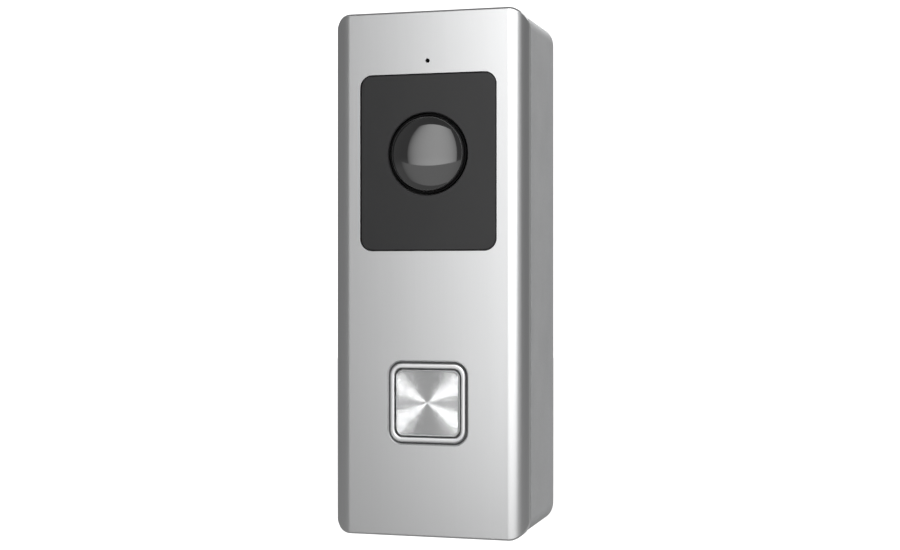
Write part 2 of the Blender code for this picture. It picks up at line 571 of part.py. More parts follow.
def main_electronics():
    """Main board with its large parts, screws, ribbons and antenna."""
    middle = (BOARD_BOTTOM + BOARD_TOP) / 2
    outline = rounded(BOARD_WIDTH, BOARD_TOP - BOARD_BOTTOM, 1.5, 0, middle, 3)
    board = place(prism(outline, BOARD_FRONT, BOARD_REAR), "main_board", CIRCUIT, unit)
    cut(board, *[rod(1.2, -18, -15, x, z, steps=12) for x, z in board_screw_spots()])
    for number, (x, z) in enumerate(board_screw_spots(), 1):
        screw(f"board_screw_{number}", 1.9, 0.8, BOARD_FRONT - GAP, -18.6, -11.0, x, z, unit)

    face, back = BOARD_FRONT - GAP, BOARD_REAR + GAP
    place(block(-5.5, 5.5, face - 1.2, face, -4.5, 6.5), "processor", CHIP, unit)
    sink_base, sink_top, fins = face - 1.5, face - 4.5, 6
    comb = []
    fin = 14 / (2 * fins - 1)
    for i in range(fins):
        left = -7 + 2 * i * fin
        right = left + fin
        comb += [(left, sink_base - 1), (left, sink_top), (right, sink_top), (right, sink_base - 1)]
    profile = [(-7, sink_base), *comb, (7, sink_base)]
    place(prism(profile, -6, 8, "Z"), "processor_heat_sink", STEEL, unit)
    place(prism(rounded(13, 12, 0.6, 7, -15, 2), face - 2.4, face), "radio_module", TIN, unit)
    core = [(0, back), (3.6, back), (3.6, back + 1), (2.6, back + 1.2), (2.6, back + 3.4),
            (3.6, back + 3.6), (3.6, back + 4.4), (0, back + 4.4)]
    place(turned(core, 10, -8, steps=16), "power_inductor", CHIP, unit)
    can = [(0, -14), (2.8, -14), (3.15, -13.6), (3.15, -12.8), (2.95, -12.5), (3.15, -12.2), (3.15, -4),
           (0, -4)]
    place(turned(can, -11.9, -8, "X", 16), "power_capacitor", SLEEVE, unit)

    thin = 0.3
    board_end = face - thin / 2
    start = CAMERA_BOARD_REAR + 0.45
    bend = bezier((start, 20), (start, 16), (board_end, 18), (board_end, 14), 8)
    place(ribbon([(start, 25), *bend, (board_end, 10)], thin, -4, 4), "camera_ribbon", POLYIMIDE, unit)
    start = BUTTON_BOARD_REAR + 0.45
    bend = bezier((start, -25), (start, -20), (board_end, -23), (board_end, -18), 8)
    path = [(start, -28), *bend, (board_end, -13)]
    place(ribbon(path, thin, -15.5, -9.5), "button_ribbon", POLYIMIDE, unit)
    wall = CASE_WALL + GAP - WIDTH / 2
    foil = prism(rounded(8, 30, 0.8, -17, 12, 2), wall, wall + 0.4, "X")
    place(foil, "antenna", POLYIMIDE, unit)


def speaker_parts():
    """Oval loudspeaker that fires down through the slots in the underside."""
    def oval(width, height, z):
        return [at("Z", u, v, z) for u, v in rounded(width, height, height / 2 - 0.2, 0, SPEAKER_Y, 5)]

    outline = rounded(SPEAKER_WIDTH, SPEAKER_DEPTH, 6.3, 0, SPEAKER_Y)
    seal = place(prism(outline, -59.7, -58.9, "Z"), "speaker_gasket", RUBBER, unit)
    cut(seal, prism(rounded(24.4, 10.4, 5, 0, SPEAKER_Y), -61, -58, "Z"))
    basket = place(prism(outline, -58.6, -51.6, "Z"), "speaker_frame", BLACK_PLASTIC, unit)
    cut(basket, prism(rounded(25.6, 11.6, 5.6, 0, SPEAKER_Y), -60, -53, "Z"))
    cone = [oval(9, 4, -56.2), oval(25, 11, -58.3), oval(25, 11, -57.8), oval(9, 4, -55.7)]
    place(loft(cone), "speaker_cone", CHIP, unit)
    place(rod(5, -51.3, -48.6, 0, SPEAKER_Y, "Z", 24), "speaker_magnet", STEEL, unit)
    lead = bezier((9.5, -17, -50.9), (9.5, -17, -46), (9.5, -13, -47), (9.5, -12.6, -42), 8)
    solder = (9.5, BOARD_REAR + 0.4, -37)
    lead += bezier((9.5, -12.6, -42), (9.5, -12.2, -38), (9.5, -13.5, -37), solder, 6)[1:]
    sweep(lead, 0.55, "speaker_cable", RUBBER, unit, 2)


def terminal_parts():
    """Two screw terminals on the back for the bell wires."""
    seat = -5.6
    block_body = block(-9, 9, BOARD_REAR + GAP, seat, TERMINAL_Z - 5, TERMINAL_Z + 5)
    terminals = place(block_body, "terminal_block", BLACK_PLASTIC, unit)
    join(terminals, block(-0.8, 0.8, seat - 1, -4.0, TERMINAL_Z - 5, TERMINAL_Z + 5))
    bores = [rod(1.5, -12.5, seat + 1, x, TERMINAL_Z, steps=16) for x in (-TERMINAL_X, TERMINAL_X)]
    cut(terminals, *bores)
    for number, x in enumerate((-TERMINAL_X, TERMINAL_X), 1):
        axis = anchor(f"terminal_axis_{number}", x, seat, TERMINAL_Z, unit)
        screw(f"terminal_screw_{number}", 2.9, 1.2, seat + GAP, seat + 1.8, -12.0, x, TERMINAL_Z,
              axis, BRASS)


def reset_parts():
    """Reset switch on the main board and the button that reaches through the partition."""
    rear = BOARD_REAR + GAP
    switch = place(block(RESET_X - 3, RESET_X + 3, rear, rear + 3.5, RESET_Z - 3, RESET_Z + 3),
                   "reset_switch", CHIP, unit)
    cut(switch, rod(1.7, rear + 0.8, rear + 5, RESET_X, RESET_Z, steps=12))
    stem = [(0, rear + 1.5), (1.4, rear + 1.5), (1.4, -5.8), (1.1, -5.5), (0, -5.5)]
    place(turned(stem, RESET_X, RESET_Z, steps=20), "reset_button", WHITE_PLASTIC, reset_axis)


def case_screws():
    """Four long screws from the rear recess into the front frame, and the locking screw underneath."""
    number = 0
    for x in (-COVER_SCREW_X, COVER_SCREW_X):
        for z in (-COVER_SCREW_Z, COVER_SCREW_Z):
            number += 1
            screw(f"cover_screw_{number}", 2.2, 1.0, FLOOR_REAR + GAP, -4.4, -25.5, x, z, unit)
    screw("security_screw", 2.0, 1.0, -60.4, -61.5, -58.2, 0, SECURITY_Y, security_axis,
          BLACK_STEEL, "Z")


wall_bracket()
rear_housing()
housing_gasket()
front_frame()
front_cover()
camera_window()
window_gasket()
lens_parts()
window_carrier()
camera_boards()
microphone_parts()
button_parts()
main_electronics()
speaker_parts()
terminal_parts()
reset_parts()
case_screws()
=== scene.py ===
import json
import math

import bmesh
import bpy
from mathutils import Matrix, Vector


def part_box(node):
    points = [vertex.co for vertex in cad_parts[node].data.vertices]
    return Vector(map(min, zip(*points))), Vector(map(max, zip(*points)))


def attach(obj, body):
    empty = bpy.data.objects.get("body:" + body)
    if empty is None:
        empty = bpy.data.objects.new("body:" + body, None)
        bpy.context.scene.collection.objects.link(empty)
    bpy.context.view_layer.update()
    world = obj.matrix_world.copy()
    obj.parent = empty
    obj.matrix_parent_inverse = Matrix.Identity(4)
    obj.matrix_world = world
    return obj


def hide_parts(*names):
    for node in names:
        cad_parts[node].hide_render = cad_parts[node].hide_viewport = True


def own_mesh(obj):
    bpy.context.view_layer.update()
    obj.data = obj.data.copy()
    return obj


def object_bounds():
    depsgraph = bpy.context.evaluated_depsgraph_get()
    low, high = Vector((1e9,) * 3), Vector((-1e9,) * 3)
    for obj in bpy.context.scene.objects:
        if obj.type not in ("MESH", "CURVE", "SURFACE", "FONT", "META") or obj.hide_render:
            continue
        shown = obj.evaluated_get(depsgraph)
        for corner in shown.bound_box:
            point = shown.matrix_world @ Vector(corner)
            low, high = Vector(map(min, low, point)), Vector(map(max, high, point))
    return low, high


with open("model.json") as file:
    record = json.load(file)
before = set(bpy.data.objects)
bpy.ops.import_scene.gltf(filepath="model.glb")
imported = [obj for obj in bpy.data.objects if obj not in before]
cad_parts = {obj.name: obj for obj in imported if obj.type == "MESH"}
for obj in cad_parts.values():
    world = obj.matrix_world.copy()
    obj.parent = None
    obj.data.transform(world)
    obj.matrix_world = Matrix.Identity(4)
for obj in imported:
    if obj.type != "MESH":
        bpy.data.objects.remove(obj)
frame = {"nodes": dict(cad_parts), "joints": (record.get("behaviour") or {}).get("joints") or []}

cad_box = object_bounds()

# Studio: a pale floor and a white backdrop, a tall softbox in front whose left edge falls inside the
# flat metal face's reflection, a second one above it to the right, and dim light from the room behind.
MM = 0.001
LENS_MM, SENSOR_MM = 61.4, 36.0
CAMERA_SPOT, CAMERA_TURN = (0.1034, -0.3776, -0.0003), (math.pi / 2 + 0.0001, 0.0, 0.2757)
FLOOR_DROP = 0.25
BACKDROP_RADIUS = 6.0
FRONT_LIGHT_Y = -1.2


class Number:
    """A socket that adds a Math node for each sign used on it."""

    def __init__(self, graph, socket):
        self.graph, self.socket = graph, socket

    def sign(self, operation, first, second=0.0):
        return self.graph.node("ShaderNodeMath", {"operation": operation}, {0: first, 1: second})

    def __add__(self, other):
        return self.sign("ADD", self, other)

    def __sub__(self, other):
        return self.sign("SUBTRACT", self, other)

    def __rsub__(self, other):
        return self.sign("SUBTRACT", other, self)

    def __mul__(self, other):
        return self.sign("MULTIPLY", self, other)

    def __truediv__(self, other):
        return self.sign("DIVIDE", self, other)

    def __lt__(self, other):
        return self.sign("LESS_THAN", self, other)

    def __gt__(self, other):
        return self.sign("GREATER_THAN", self, other)

    def __mod__(self, other):
        return self.sign("FLOORED_MODULO", self, other)

    __radd__ = __add__
    __rmul__ = __mul__


class Graph:
    """A node tree that is filled in by one method."""

    def node(self, kind, settings=None, inputs=None, out=0):
        made = self.tree.nodes.new(kind)
        for key, value in (settings or {}).items():
            if key == "stops":
                self.set_stops(made.color_ramp, value)
            else:
                setattr(made, key, value)
        for key, value in (inputs or {}).items():
            self.feed(made.inputs[key], value)
        return Number(self, made.outputs[out])

    def feed(self, socket, value):
        if isinstance(value, Number):
            self.tree.links.new(value.socket, socket)
        else:
            socket.default_value = value

    def set_stops(self, ramp, stops):
        while len(ramp.elements) < len(stops):
            ramp.elements.new(1.0)
        for element, (position, colour) in zip(ramp.elements, stops):
            element.position = position
            element.color = (*colour, 1.0)


class Room(Graph):
    """The dim light all round: a pale floor's glow from below and a grey ceiling above."""

    def __init__(self, floor_glow, wall, ceiling):
        world = bpy.data.worlds.new("studio_room")
        bpy.context.scene.world = world
        world.use_nodes = True
        self.tree = world.node_tree
        direction = self.node("ShaderNodeTexCoord", out="Generated")
        height = self.node("ShaderNodeSeparateXYZ", None, {0: direction}, "Z") * 0.5 + 0.5
        stops = [(0.0, floor_glow), (0.36, floor_glow), (0.47, wall), (0.8, wall), (1.0, ceiling)]
        glow = self.node("ShaderNodeValToRGB", {"stops": [(p, (v, v, v)) for p, v in stops]}, {0: height})
        self.feed(self.tree.nodes["Background"].inputs["Color"], glow)


def softbox(name, radiance, centre, width, height, aim=(0.0, 0.0, 0.0)):
    """A rectangular lamp that looks at a point and that the camera doesn't see."""
    lamp = bpy.data.lights.new(name, "AREA")
    lamp.shape = "RECTANGLE"
    lamp.size, lamp.size_y = width, height
    lamp.energy = radiance * 4.0 * width * height
    box = bpy.data.objects.new(name, lamp)
    bpy.context.scene.collection.objects.link(box)
    box.location = centre
    box.rotation_euler = (Vector(aim) - Vector(centre)).to_track_quat("-Z", "Y").to_euler()
    box.visible_camera = False
    return box


class Shade(Graph):
    """Dims a lamp's face towards its left and right ends."""

    def __init__(self, box, fade):
        box.data.use_nodes = True
        self.tree = box.data.node_tree
        place = self.node("ShaderNodeNewGeometry", out="Parametric")
        off_middle = self.node("ShaderNodeSeparateXYZ", None, {0: place}, "X") * 2.0 - 1.1
        self.feed(self.tree.nodes["Emission"].inputs["Color"], 1.0 - off_middle * off_middle * fade)


def linked(lamps, piece, state):
    """Light linking: INCLUDE keeps the lamps for this piece alone, EXCLUDE keeps them off it."""
    for lamp in lamps:
        receivers = lamp.light_linking.receiver_collection
        if receivers is None:
            receivers = bpy.data.collections.new(f"{lamp.name}_receivers")
            lamp.light_linking.receiver_collection = receivers
        receivers.objects.link(piece)
        receivers.collection_objects[-1].light_linking.link_state = state


def plain_white(name, glow):
    """The floor's and the backdrop's white: lit evenly, so that neither shows an edge."""
    material = bpy.data.materials.new(name)
    material.use_nodes = True
    shader = material.node_tree.nodes["Principled BSDF"]
    shader.inputs["Base Color"].default_value = (0.9, 0.9, 0.9, 1.0)
    shader.inputs["Roughness"].default_value = 0.9
    shader.inputs["Emission Color"].default_value = (1.0, 1.0, 1.0, 1.0)
    shader.inputs["Emission Strength"].default_value = glow
    return material


def stage_only(name, mesh_maker, material):
    """A staging surface that only the camera sees."""
    mesh = bpy.data.meshes.new(name)
    mesh_maker.to_mesh(mesh)
    mesh_maker.free()
    mesh.materials.append(material)
    made = bpy.data.objects.new(name, mesh)
    bpy.context.scene.collection.objects.link(made)
    made.visible_diffuse = made.visible_glossy = made.visible_transmission = made.visible_shadow = False


camera = bpy.data.objects.new("camera", bpy.data.cameras.new("camera"))
bpy.context.scene.collection.objects.link(camera)
camera.data.lens, camera.data.sensor_width = LENS_MM, SENSOR_MM
camera.location, camera.rotation_euler = CAMERA_SPOT, CAMERA_TURN
bpy.context.scene.camera = camera
bpy.context.scene.view_settings.view_transform = "Standard"

floor = bmesh.new()
bmesh.ops.create_circle(floor, cap_ends=True, segments=96, radius=BACKDROP_RADIUS * 0.9)
bmesh.ops.translate(floor, vec=(0.0, 0.0, cad_box[0].z - FLOOR_DROP), verts=floor.verts)
stage_only("floor", floor, plain_white("pale_floor", 0.9))
backdrop = bmesh.new()
bmesh.ops.create_icosphere(backdrop, subdivisions=4, radius=BACKDROP_RADIUS)
stage_only("backdrop", backdrop, plain_white("white_backdrop", 1.1))

Room(floor_glow=0.26, wall=0.17, ceiling=0.15)
front_light = softbox("front_softbox", 0.965, (0.435, FRONT_LIGHT_Y, 0.60), 1.5, 1.72, (0.435, 0.0, 0.60))
upper_light = softbox("upper_softbox", 0.84, (0.52, FRONT_LIGHT_Y - 0.06, 0.92), 1.4, 1.4, (0.52, 0.0, 0.92))
fall_off = softbox("fall_off_softbox", 0.22, (2.05, FRONT_LIGHT_Y, 0.6), 1.8, 1.9, (2.05, 0.0, 0.6))
rear_light = softbox("rear_softbox", 0.13, (0.36, 1.18, 0.0), 0.6, 1.6)
key_lights = (front_light, upper_light, fall_off)
softbox("back_softbox", 1.4, (0.0, 1.0, 0.85), 1.4, 0.8)
for side, radiance, centre in (("right", 1.2, (0.95, 0.25, 0.1)), ("left", 1.5, (-0.95, 0.25, 0.1)),
                               ("top", 1.2, (0.3, 0.2, 1.2))):
    wash = softbox(f"{side}_wash", radiance, centre, 0.9, 1.4)
    wash.visible_glossy = False


# Wall bracket: 1.6 mm steel sheet, blanked, beaded and folded in one press tool and then zinc plated.
# It is screwed to the wall through its two round holes, and the bell wires pass through its window.
BRACKET_SHEET, BRACKET_CORNER = 1.6, 3.0
BEAD_X, BEAD_LENGTH, BEAD_WIDTH, BEAD_RISE = 14.5, 78.0, 3.4, 0.7
TONGUE_X, TONGUE_FRONT, TONGUE_LIP = 8.0, -4.5, -3.3
TAB_X, TAB_FRONT, TAB_REAR = 6.0, -5.5, -0.6
FOLD, FLANGE_FRONT, FLANGE_Z, JOIN_Y = 1.2, -3.6, 48.0, -0.8
WALL_HOLES, WALL_HOLE, WALL_HOLE_RIM = ((0.0, 43.0), (0.0, -43.0)), 2.2, 4.4
WIRE_WINDOW, SPARE_WINDOW = (20, 22, 3, 0, 17), (14, 18, 3, 0, -22)
SECURITY_Y, SECURITY_BORE = -3.9, 1.4


class Span:
    """A CAD piece's box in millimetres."""

    def __init__(self, node):
        low, high = (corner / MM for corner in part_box(node))
        (self.left, self.front, self.bottom), (self.right, self.rear, self.top) = low, high
        self.width, self.depth, self.height = high - low
        self.x, self.y, self.z = (low + high) / 2


class Finish(Graph):
    """A procedural material whose fixed values sit on the shader and whose nodes vary the others."""

    def __init__(self, name, **fixed):
        self.material = bpy.data.materials.new(name)
        self.material.use_nodes = True
        self.tree = self.material.node_tree
        self.shader = self.tree.nodes["Principled BSDF"]
        for key, value in fixed.items():
            self.shader.inputs[key.replace("_", " ")].default_value = value
        metres = self.node("ShaderNodeTexCoord", out="Object")
        self.spot = self.vector("SCALE", metres, Scale=1.0 / MM)

    def vector(self, operation, *values, out=0, **named):
        inputs = {**dict(enumerate(values)), **named}
        return self.node("ShaderNodeVectorMath", {"operation": operation}, inputs, out)

    def axes(self, point=None):
        """The x, y and z of a point, as three numbers in millimetres."""
        parts = self.node("ShaderNodeSeparateXYZ", None, {0: point or self.spot}).socket.node
        return [Number(self, socket) for socket in parts.outputs]

    def noise(self, per_mm, detail=3.0, stretch=(1.0, 1.0, 1.0)):
        """Soft noise with so many features to the millimetre, drawn out along the axes by stretch."""
        squeezed = self.vector("DIVIDE", self.spot, stretch)
        inputs = {"Vector": squeezed, "Scale": per_mm, "Detail": detail}
        return self.node("ShaderNodeTexNoise", None, inputs, "Fac")

    def cells(self, per_mm, out="Distance"):
        """Irregular cells, so many to the millimetre: the distance to their middles, or their colours."""
        return self.node("ShaderNodeTexVoronoi", None, {"Vector": self.spot, "Scale": per_mm}, out)

    def spread(self, value, low, high, to_low=0.0, to_high=1.0):
        """Stretch a number from one range to another and clamp it there."""
        inputs = {"Value": value, 1: low, 2: high, 3: to_low, 4: to_high}
        return self.node("ShaderNodeMapRange", None, inputs)

    def tint(self, factor, one, other):
        """Mix two colours."""
        colours = [c if isinstance(c, Number) else (*c, 1.0) for c in (one, other)]
        inputs = {0: factor, 6: colours[0], 7: colours[1]}
        return self.node("ShaderNodeMix", {"data_type": "RGBA"}, inputs, 2)

    def relief(self, height, depth_mm):
        """Let a height from 0 to 1 stand up from the surface."""
        inputs = {"Height": height, "Distance": depth_mm * MM, "Strength": 1.0}
        self.drive("Normal", self.node("ShaderNodeBump", None, inputs))

    def drive(self, socket, value):
        self.feed(self.shader.inputs[socket], value)

    def grain(self, colour, shift, roughness, spread, per_mm, depth_mm, stretch=(1.0, 1.0, 1.0)):
        """The common case: one noise that mottles the colour and the gloss, and a finer one in relief."""
        mottle = self.noise(per_mm, 4.0, stretch)
        darker, lighter = [tuple(c * (1 + sign * shift) for c in colour) for sign in (-1, 1)]
        self.drive("Base Color", self.tint(self.spread(mottle, 0.3, 0.7), darker, lighter))
        self.drive("Roughness", self.spread(mottle, 0.3, 0.7, roughness - spread, roughness + spread))
        self.relief(self.noise(per_mm * 3, 2.0, stretch), depth_mm)


def at(axis, u, v, along):
    """World point from two in-plane values and one along the axis: Y takes (x, z), Z (x, y), X (y, z)."""
    return {"Y": (u, along, v), "Z": (u, v, along), "X": (along, u, v)}[axis]


def rounded(width, height, corner, u=0.0, v=0.0, steps=8):
    """Outline of a rectangle with round corners."""
    points = []
    for quarter, (side_u, side_v) in enumerate(((1, 1), (-1, 1), (-1, -1), (1, -1))):
        for step in range(steps + 1):
            angle = (quarter + step / steps) * math.pi / 2
            points.append((u + side_u * (width / 2 - corner) + corner * math.cos(angle),
                           v + side_v * (height / 2 - corner) + corner * math.sin(angle)))
    return points


def loft(rings, closed=False):
    """Skin over rings of points: capped at both ends, or closed back on itself like a tyre."""
    made = bmesh.new()
    loops = [[made.verts.new(point) for point in ring] for ring in rings]
    pairs = list(zip(loops, loops[1:]))
    if closed:
        pairs.append((loops[-1], loops[0]))
    for near, far in pairs:
        for i in range(len(near)):
            j = (i + 1) % len(near)
            made.faces.new((near[i], near[j], far[j], far[i]))
    if not closed:
        made.faces.new(loops[0])
        made.faces.new(loops[-1][::-1])
    return made


def prism(outline, start, end, axis="Y"):
    return loft([[at(axis, u, v, along) for u, v in outline] for along in (start, end)])


def block(x0, x1, y0, y1, z0, z1):
    return prism([(x0, z0), (x1, z0), (x1, z1), (x0, z1)], y0, y1)


def rod(radius, start, end, u=0.0, v=0.0, axis="Y", steps=48):
    circle = [(u + radius * math.cos(i * math.tau / steps), v + radius * math.sin(i * math.tau / steps))
              for i in range(steps)]
    return prism(circle, start, end, axis)


def build(mesh_maker, name):
    """An object at the origin from a bmesh in millimetres, its doubles merged and its faces outward."""
    bmesh.ops.remove_doubles(mesh_maker, verts=mesh_maker.verts, dist=1e-4)
    bmesh.ops.recalc_face_normals(mesh_maker, faces=mesh_maker.faces)
    bmesh.ops.scale(mesh_maker, vec=(MM, MM, MM), verts=mesh_maker.verts)
    mesh = bpy.data.meshes.new(name)
    mesh_maker.to_mesh(mesh)
    mesh_maker.free()
    made = bpy.data.objects.new(name, mesh)
    bpy.context.scene.collection.objects.link(made)
    return made


def freeze(piece):
    """Make what the piece's modifiers give into its own mesh."""
    graph = bpy.context.evaluated_depsgraph_get()
    made = bpy.data.meshes.new_from_object(piece.evaluated_get(graph))
    piece.modifiers.clear()
    piece.data = made
    return piece


def shape(piece, operation, *tools, solver="EXACT"):
    """Join or cut a piece with tool bodies, which are then thrown away."""
    bodies = [build(tool, "tool") for tool in tools]
    for body in bodies:
        modifier = piece.modifiers.new("tool", "BOOLEAN")
        modifier.operation = operation
        modifier.solver = solver
        modifier.object = body
    freeze(piece)
    for body in bodies:
        bpy.data.objects.remove(body, do_unlink=True)


def soften(piece, width, segments=2, from_angle=35.0):
    """Break the piece's sharp edges."""
    piece.data.shade_smooth()
    bevel = piece.modifiers.new("bevel", "BEVEL")
    bevel.width = width * MM
    bevel.segments = segments
    bevel.limit_method = "ANGLE"
    bevel.angle_limit = math.radians(from_angle)
    bevel.harden_normals = True
    freeze(piece)


def hand_over(piece, finish, body, slot, *nodes, sharp=40.0):
    """Give a piece its finish and its body, and hide the CAD pieces that it stands for."""
    piece.data.materials.clear()
    piece.data.materials.append(finish.material)
    piece.data.shade_smooth()
    piece.data.set_sharp_from_angle(angle=math.radians(sharp))
    piece.modifiers.new("normals", "WEIGHTED_NORMAL").keep_sharp = True
    freeze(piece)
    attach(piece, body)
    if nodes:
        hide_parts(*nodes)


zinc = Finish("zinc_plated_steel", Metallic=1.0)
spangle = zinc.cells(0.45, "Color")
spangle_shade = zinc.axes(spangle)[0]
zinc.drive("Base Color", zinc.tint(spangle_shade, (0.56, 0.58, 0.61), (0.70, 0.71, 0.72)))
zinc_haze = zinc.spread(zinc.noise(0.9, 5.0), 0.3, 0.7, 0.0, 0.12)
zinc.drive("Roughness", zinc.spread(spangle_shade, 0.0, 1.0, 0.26, 0.38) + zinc_haze)
zinc.relief(zinc.noise(6.0, 3.0, (1.0, 1.0, 12.0)), 0.012)

sheet = Span("wall_bracket")
hook_top = sheet.top
plate = prism(rounded(sheet.width, -2 * sheet.bottom, BRACKET_CORNER), -BRACKET_SHEET, 0)
bracket = build(plate, "wall_bracket_sheet")
folds = [block(-TONGUE_X, TONGUE_X, TONGUE_FRONT, 0, hook_top - 2.5, hook_top - 1.3),
         block(-TONGUE_X, TONGUE_X, TONGUE_FRONT, TONGUE_LIP, hook_top - 2.0, hook_top),
         prism([(-TAB_X, TAB_FRONT), (TAB_X, TAB_FRONT), (TAB_X, TAB_REAR), (-TAB_X, TAB_REAR)],
               sheet.bottom, sheet.bottom + FOLD, "Z")]
folds += [block(*sorted((side * sheet.right, side * (sheet.right - FOLD))), FLANGE_FRONT, JOIN_Y,
                -FLANGE_Z, FLANGE_Z) for side in (-1, 1)]
beads = [prism(rounded(BEAD_WIDTH, BEAD_LENGTH, BEAD_WIDTH / 2 - 0.01, side * BEAD_X, 0),
               -BRACKET_SHEET - BEAD_RISE, JOIN_Y) for side in (-1, 1)]
rims = [rod(WALL_HOLE_RIM, -BRACKET_SHEET - 0.35, JOIN_Y, x, z) for x, z in WALL_HOLES]
shape(bracket, "UNION", *folds, *beads, *rims)
holes = [rod(WALL_HOLE, -3, 1, x, z) for x, z in WALL_HOLES]
windows = [prism(rounded(*window), -3, 1) for window in (WIRE_WINDOW, SPARE_WINDOW)]
lock_hole = rod(SECURITY_BORE, sheet.bottom - 1, sheet.bottom + 3, 0, SECURITY_Y, "Z")
shape(bracket, "DIFFERENCE", *windows, lock_hole, *holes)
soften(bracket, 0.3, 2)
hand_over(bracket, zinc, "bracket", "zinc_steel", "wall_bracket")


# Rear housing: one deep injection moulding in silver-grey painted plastic. Four posts take the cover
# screws, a rib at the top hangs on the bracket's tongue, and slots in the underside let the sound out.
CASE_CORNER = 4.4
CASE_WALL, COVER_WALL = 2.0, 1.2
PARTITION_FRONT, PARTITION_REAR = -8.0, -6.2
MOUTH_LEDGE = -23.4
COVER_SCREW_X, COVER_SCREW_Z = 17.2, 56.3
COVER_POST, COVER_POST_FRONT, COVER_POST_BORE = 2.8, -17.5, 1.3
BOARD_POST_X, BOARD_POST_ZS = 16.0, (-42.5, 49.0)
BOARD_POST, BOARD_POST_FRONT, BOARD_POST_BORE = 2.4, -15.5, 1.1
BOARD_SCREWS = ((-BOARD_POST_X, 49.0), (BOARD_POST_X, -42.5))
HANG_RIB = (-9, 9, -3.0, -1.9)
LOCK_PAD_X, LOCK_PAD_REAR, LOCK_PAD_TOP = 4, -1.5, -59.2
RIB_X, RIB_FRONT_LAP, RIB_REAR, RIB_Z = 15.6, 0.3, -4.9, 50
TERMINAL_HOLE = (18.6, 10.6, 0.5, 0, 15.0, 4)
RESET_HOLE, RESET_X, RESET_Z = 1.8, 12.0, -25.0
LOCK_BORE, LOCK_SEAT, LOCK_SEAT_Z = 1.3, 2.3, -60.1
SLOT_WIDTH, SLOT_LENGTH, SLOT_CORNER, SLOT_XS = 1.4, 9, 0.65, (-8, -4, 0, 4, 8)
SPEAKER_Y = -17.0
UNDERSIDE = -63  # just below the case, where cuts from underneath begin

case, shell = Span("front_cover"), Span("rear_housing")


def case_body(inset, front, rear, rolled=False, steps=18, front_break=0.0, rear_break=0.0, end_step=0.0):
    """The case's rounded front view; a rolled one has the front face's long edges turned back.
    The breaks chamfer its top and bottom edges at the front and the rear, the end step shortens it."""
    half_width, half_height = case.width / 2 - inset, case.height / 2 - inset - end_step
    radius = CASE_CORNER - inset
    stations = []
    for step in range(steps + 1):
        angle = step * math.pi / 2 / steps
        fall = radius * (1 - math.cos(angle))
        reach = half_width - radius + radius * math.sin(angle)
        stations.append((reach, front + (fall if rolled else 0.0), half_height - fall))
    rings = []
    for x, y, z in [(-x, y, z) for x, y, z in stations[::-1]] + stations:
        half = [(y, z - front_break), (y + front_break, z), (rear - rear_break, z), (rear, z - rear_break)]
        half = list(dict.fromkeys(half))
        rings.append([(x, b, c) for b, c in half] + [(x, b, -c) for b, c in half[::-1]])
    return loft(rings)


paint = Finish("silver_grey_paint", Metallic=0.35, Coat_Weight=0.15, Coat_Roughness=0.35)
flake = paint.axes(paint.cells(9.0, "Color"))[0]
paint_cloud = paint.noise(0.08, 3.0)
paint_shade = paint.spread(flake * 0.35 + paint_cloud * 0.65, 0.25, 0.75)
paint.drive("Base Color", paint.tint(paint_shade, (0.42, 0.425, 0.43), (0.50, 0.505, 0.51)))
paint.drive("Roughness", paint.spread(paint.noise(2.0, 3.0), 0.3, 0.7, 0.40, 0.50))
paint.relief(paint.noise(5.0, 3.0), 0.006)

outside = case_body(0, shell.front, shell.rear, steps=24, rear_break=0.35, end_step=case.top - shell.top)
housing = build(outside, "rear_housing_shell")
hollows = [case_body(CASE_WALL, shell.front - 1, PARTITION_FRONT),
           case_body(COVER_WALL, shell.front - 1, MOUTH_LEDGE),
           case_body(CASE_WALL, PARTITION_REAR, shell.rear + 1)]
shape(housing, "DIFFERENCE", *hollows, solver="MANIFOLD")
screw_spots = [(x, z) for x in (-COVER_SCREW_X, COVER_SCREW_X) for z in (-COVER_SCREW_Z, COVER_SCREW_Z)]
post_rear = PARTITION_FRONT + 0.5
posts = [rod(COVER_POST, post_rear, COVER_POST_FRONT, x, z, steps=24) for x, z in screw_spots]
posts += [rod(BOARD_POST, post_rear, BOARD_POST_FRONT, x, z, steps=24)
          for x in (-BOARD_POST_X, BOARD_POST_X) for z in BOARD_POST_ZS]
hang_rib = block(*HANG_RIB, hook_top - 1.0, case.top - 1)
lock_pad = block(-LOCK_PAD_X, LOCK_PAD_X, PARTITION_REAR - 0.2, LOCK_PAD_REAR, case.bottom + 1, LOCK_PAD_TOP)
ribs = [block(x - 0.5, x + 0.5, PARTITION_REAR - RIB_FRONT_LAP, RIB_REAR, -RIB_Z, RIB_Z)
        for x in (-RIB_X, RIB_X)]
shape(housing, "UNION", *posts, hang_rib, lock_pad, *ribs, solver="MANIFOLD")
bores = [rod(COVER_POST_BORE, -3, -19, x, z, steps=24) for x, z in screw_spots]
bores += [rod(BOARD_POST_BORE, -10, -17, x, z, steps=24) for x, z in BOARD_SCREWS]
bores += [prism(rounded(*TERMINAL_HOLE), -3, -9), rod(RESET_HOLE, -3, -9, RESET_X, RESET_Z, steps=24),
          rod(LOCK_BORE, UNDERSIDE, -58, 0, SECURITY_Y, "Z", 24),
          rod(LOCK_SEAT, UNDERSIDE, LOCK_SEAT_Z, 0, SECURITY_Y, "Z", 32)]
bores += [prism(rounded(SLOT_WIDTH, SLOT_LENGTH, SLOT_CORNER, x, SPEAKER_Y, 6), UNDERSIDE, -59, "Z")
          for x in SLOT_XS]
shape(housing, "DIFFERENCE", *bores, solver="MANIFOLD")
hand_over(housing, paint, "unit", "case_plastic", "rear_housing", sharp=30)


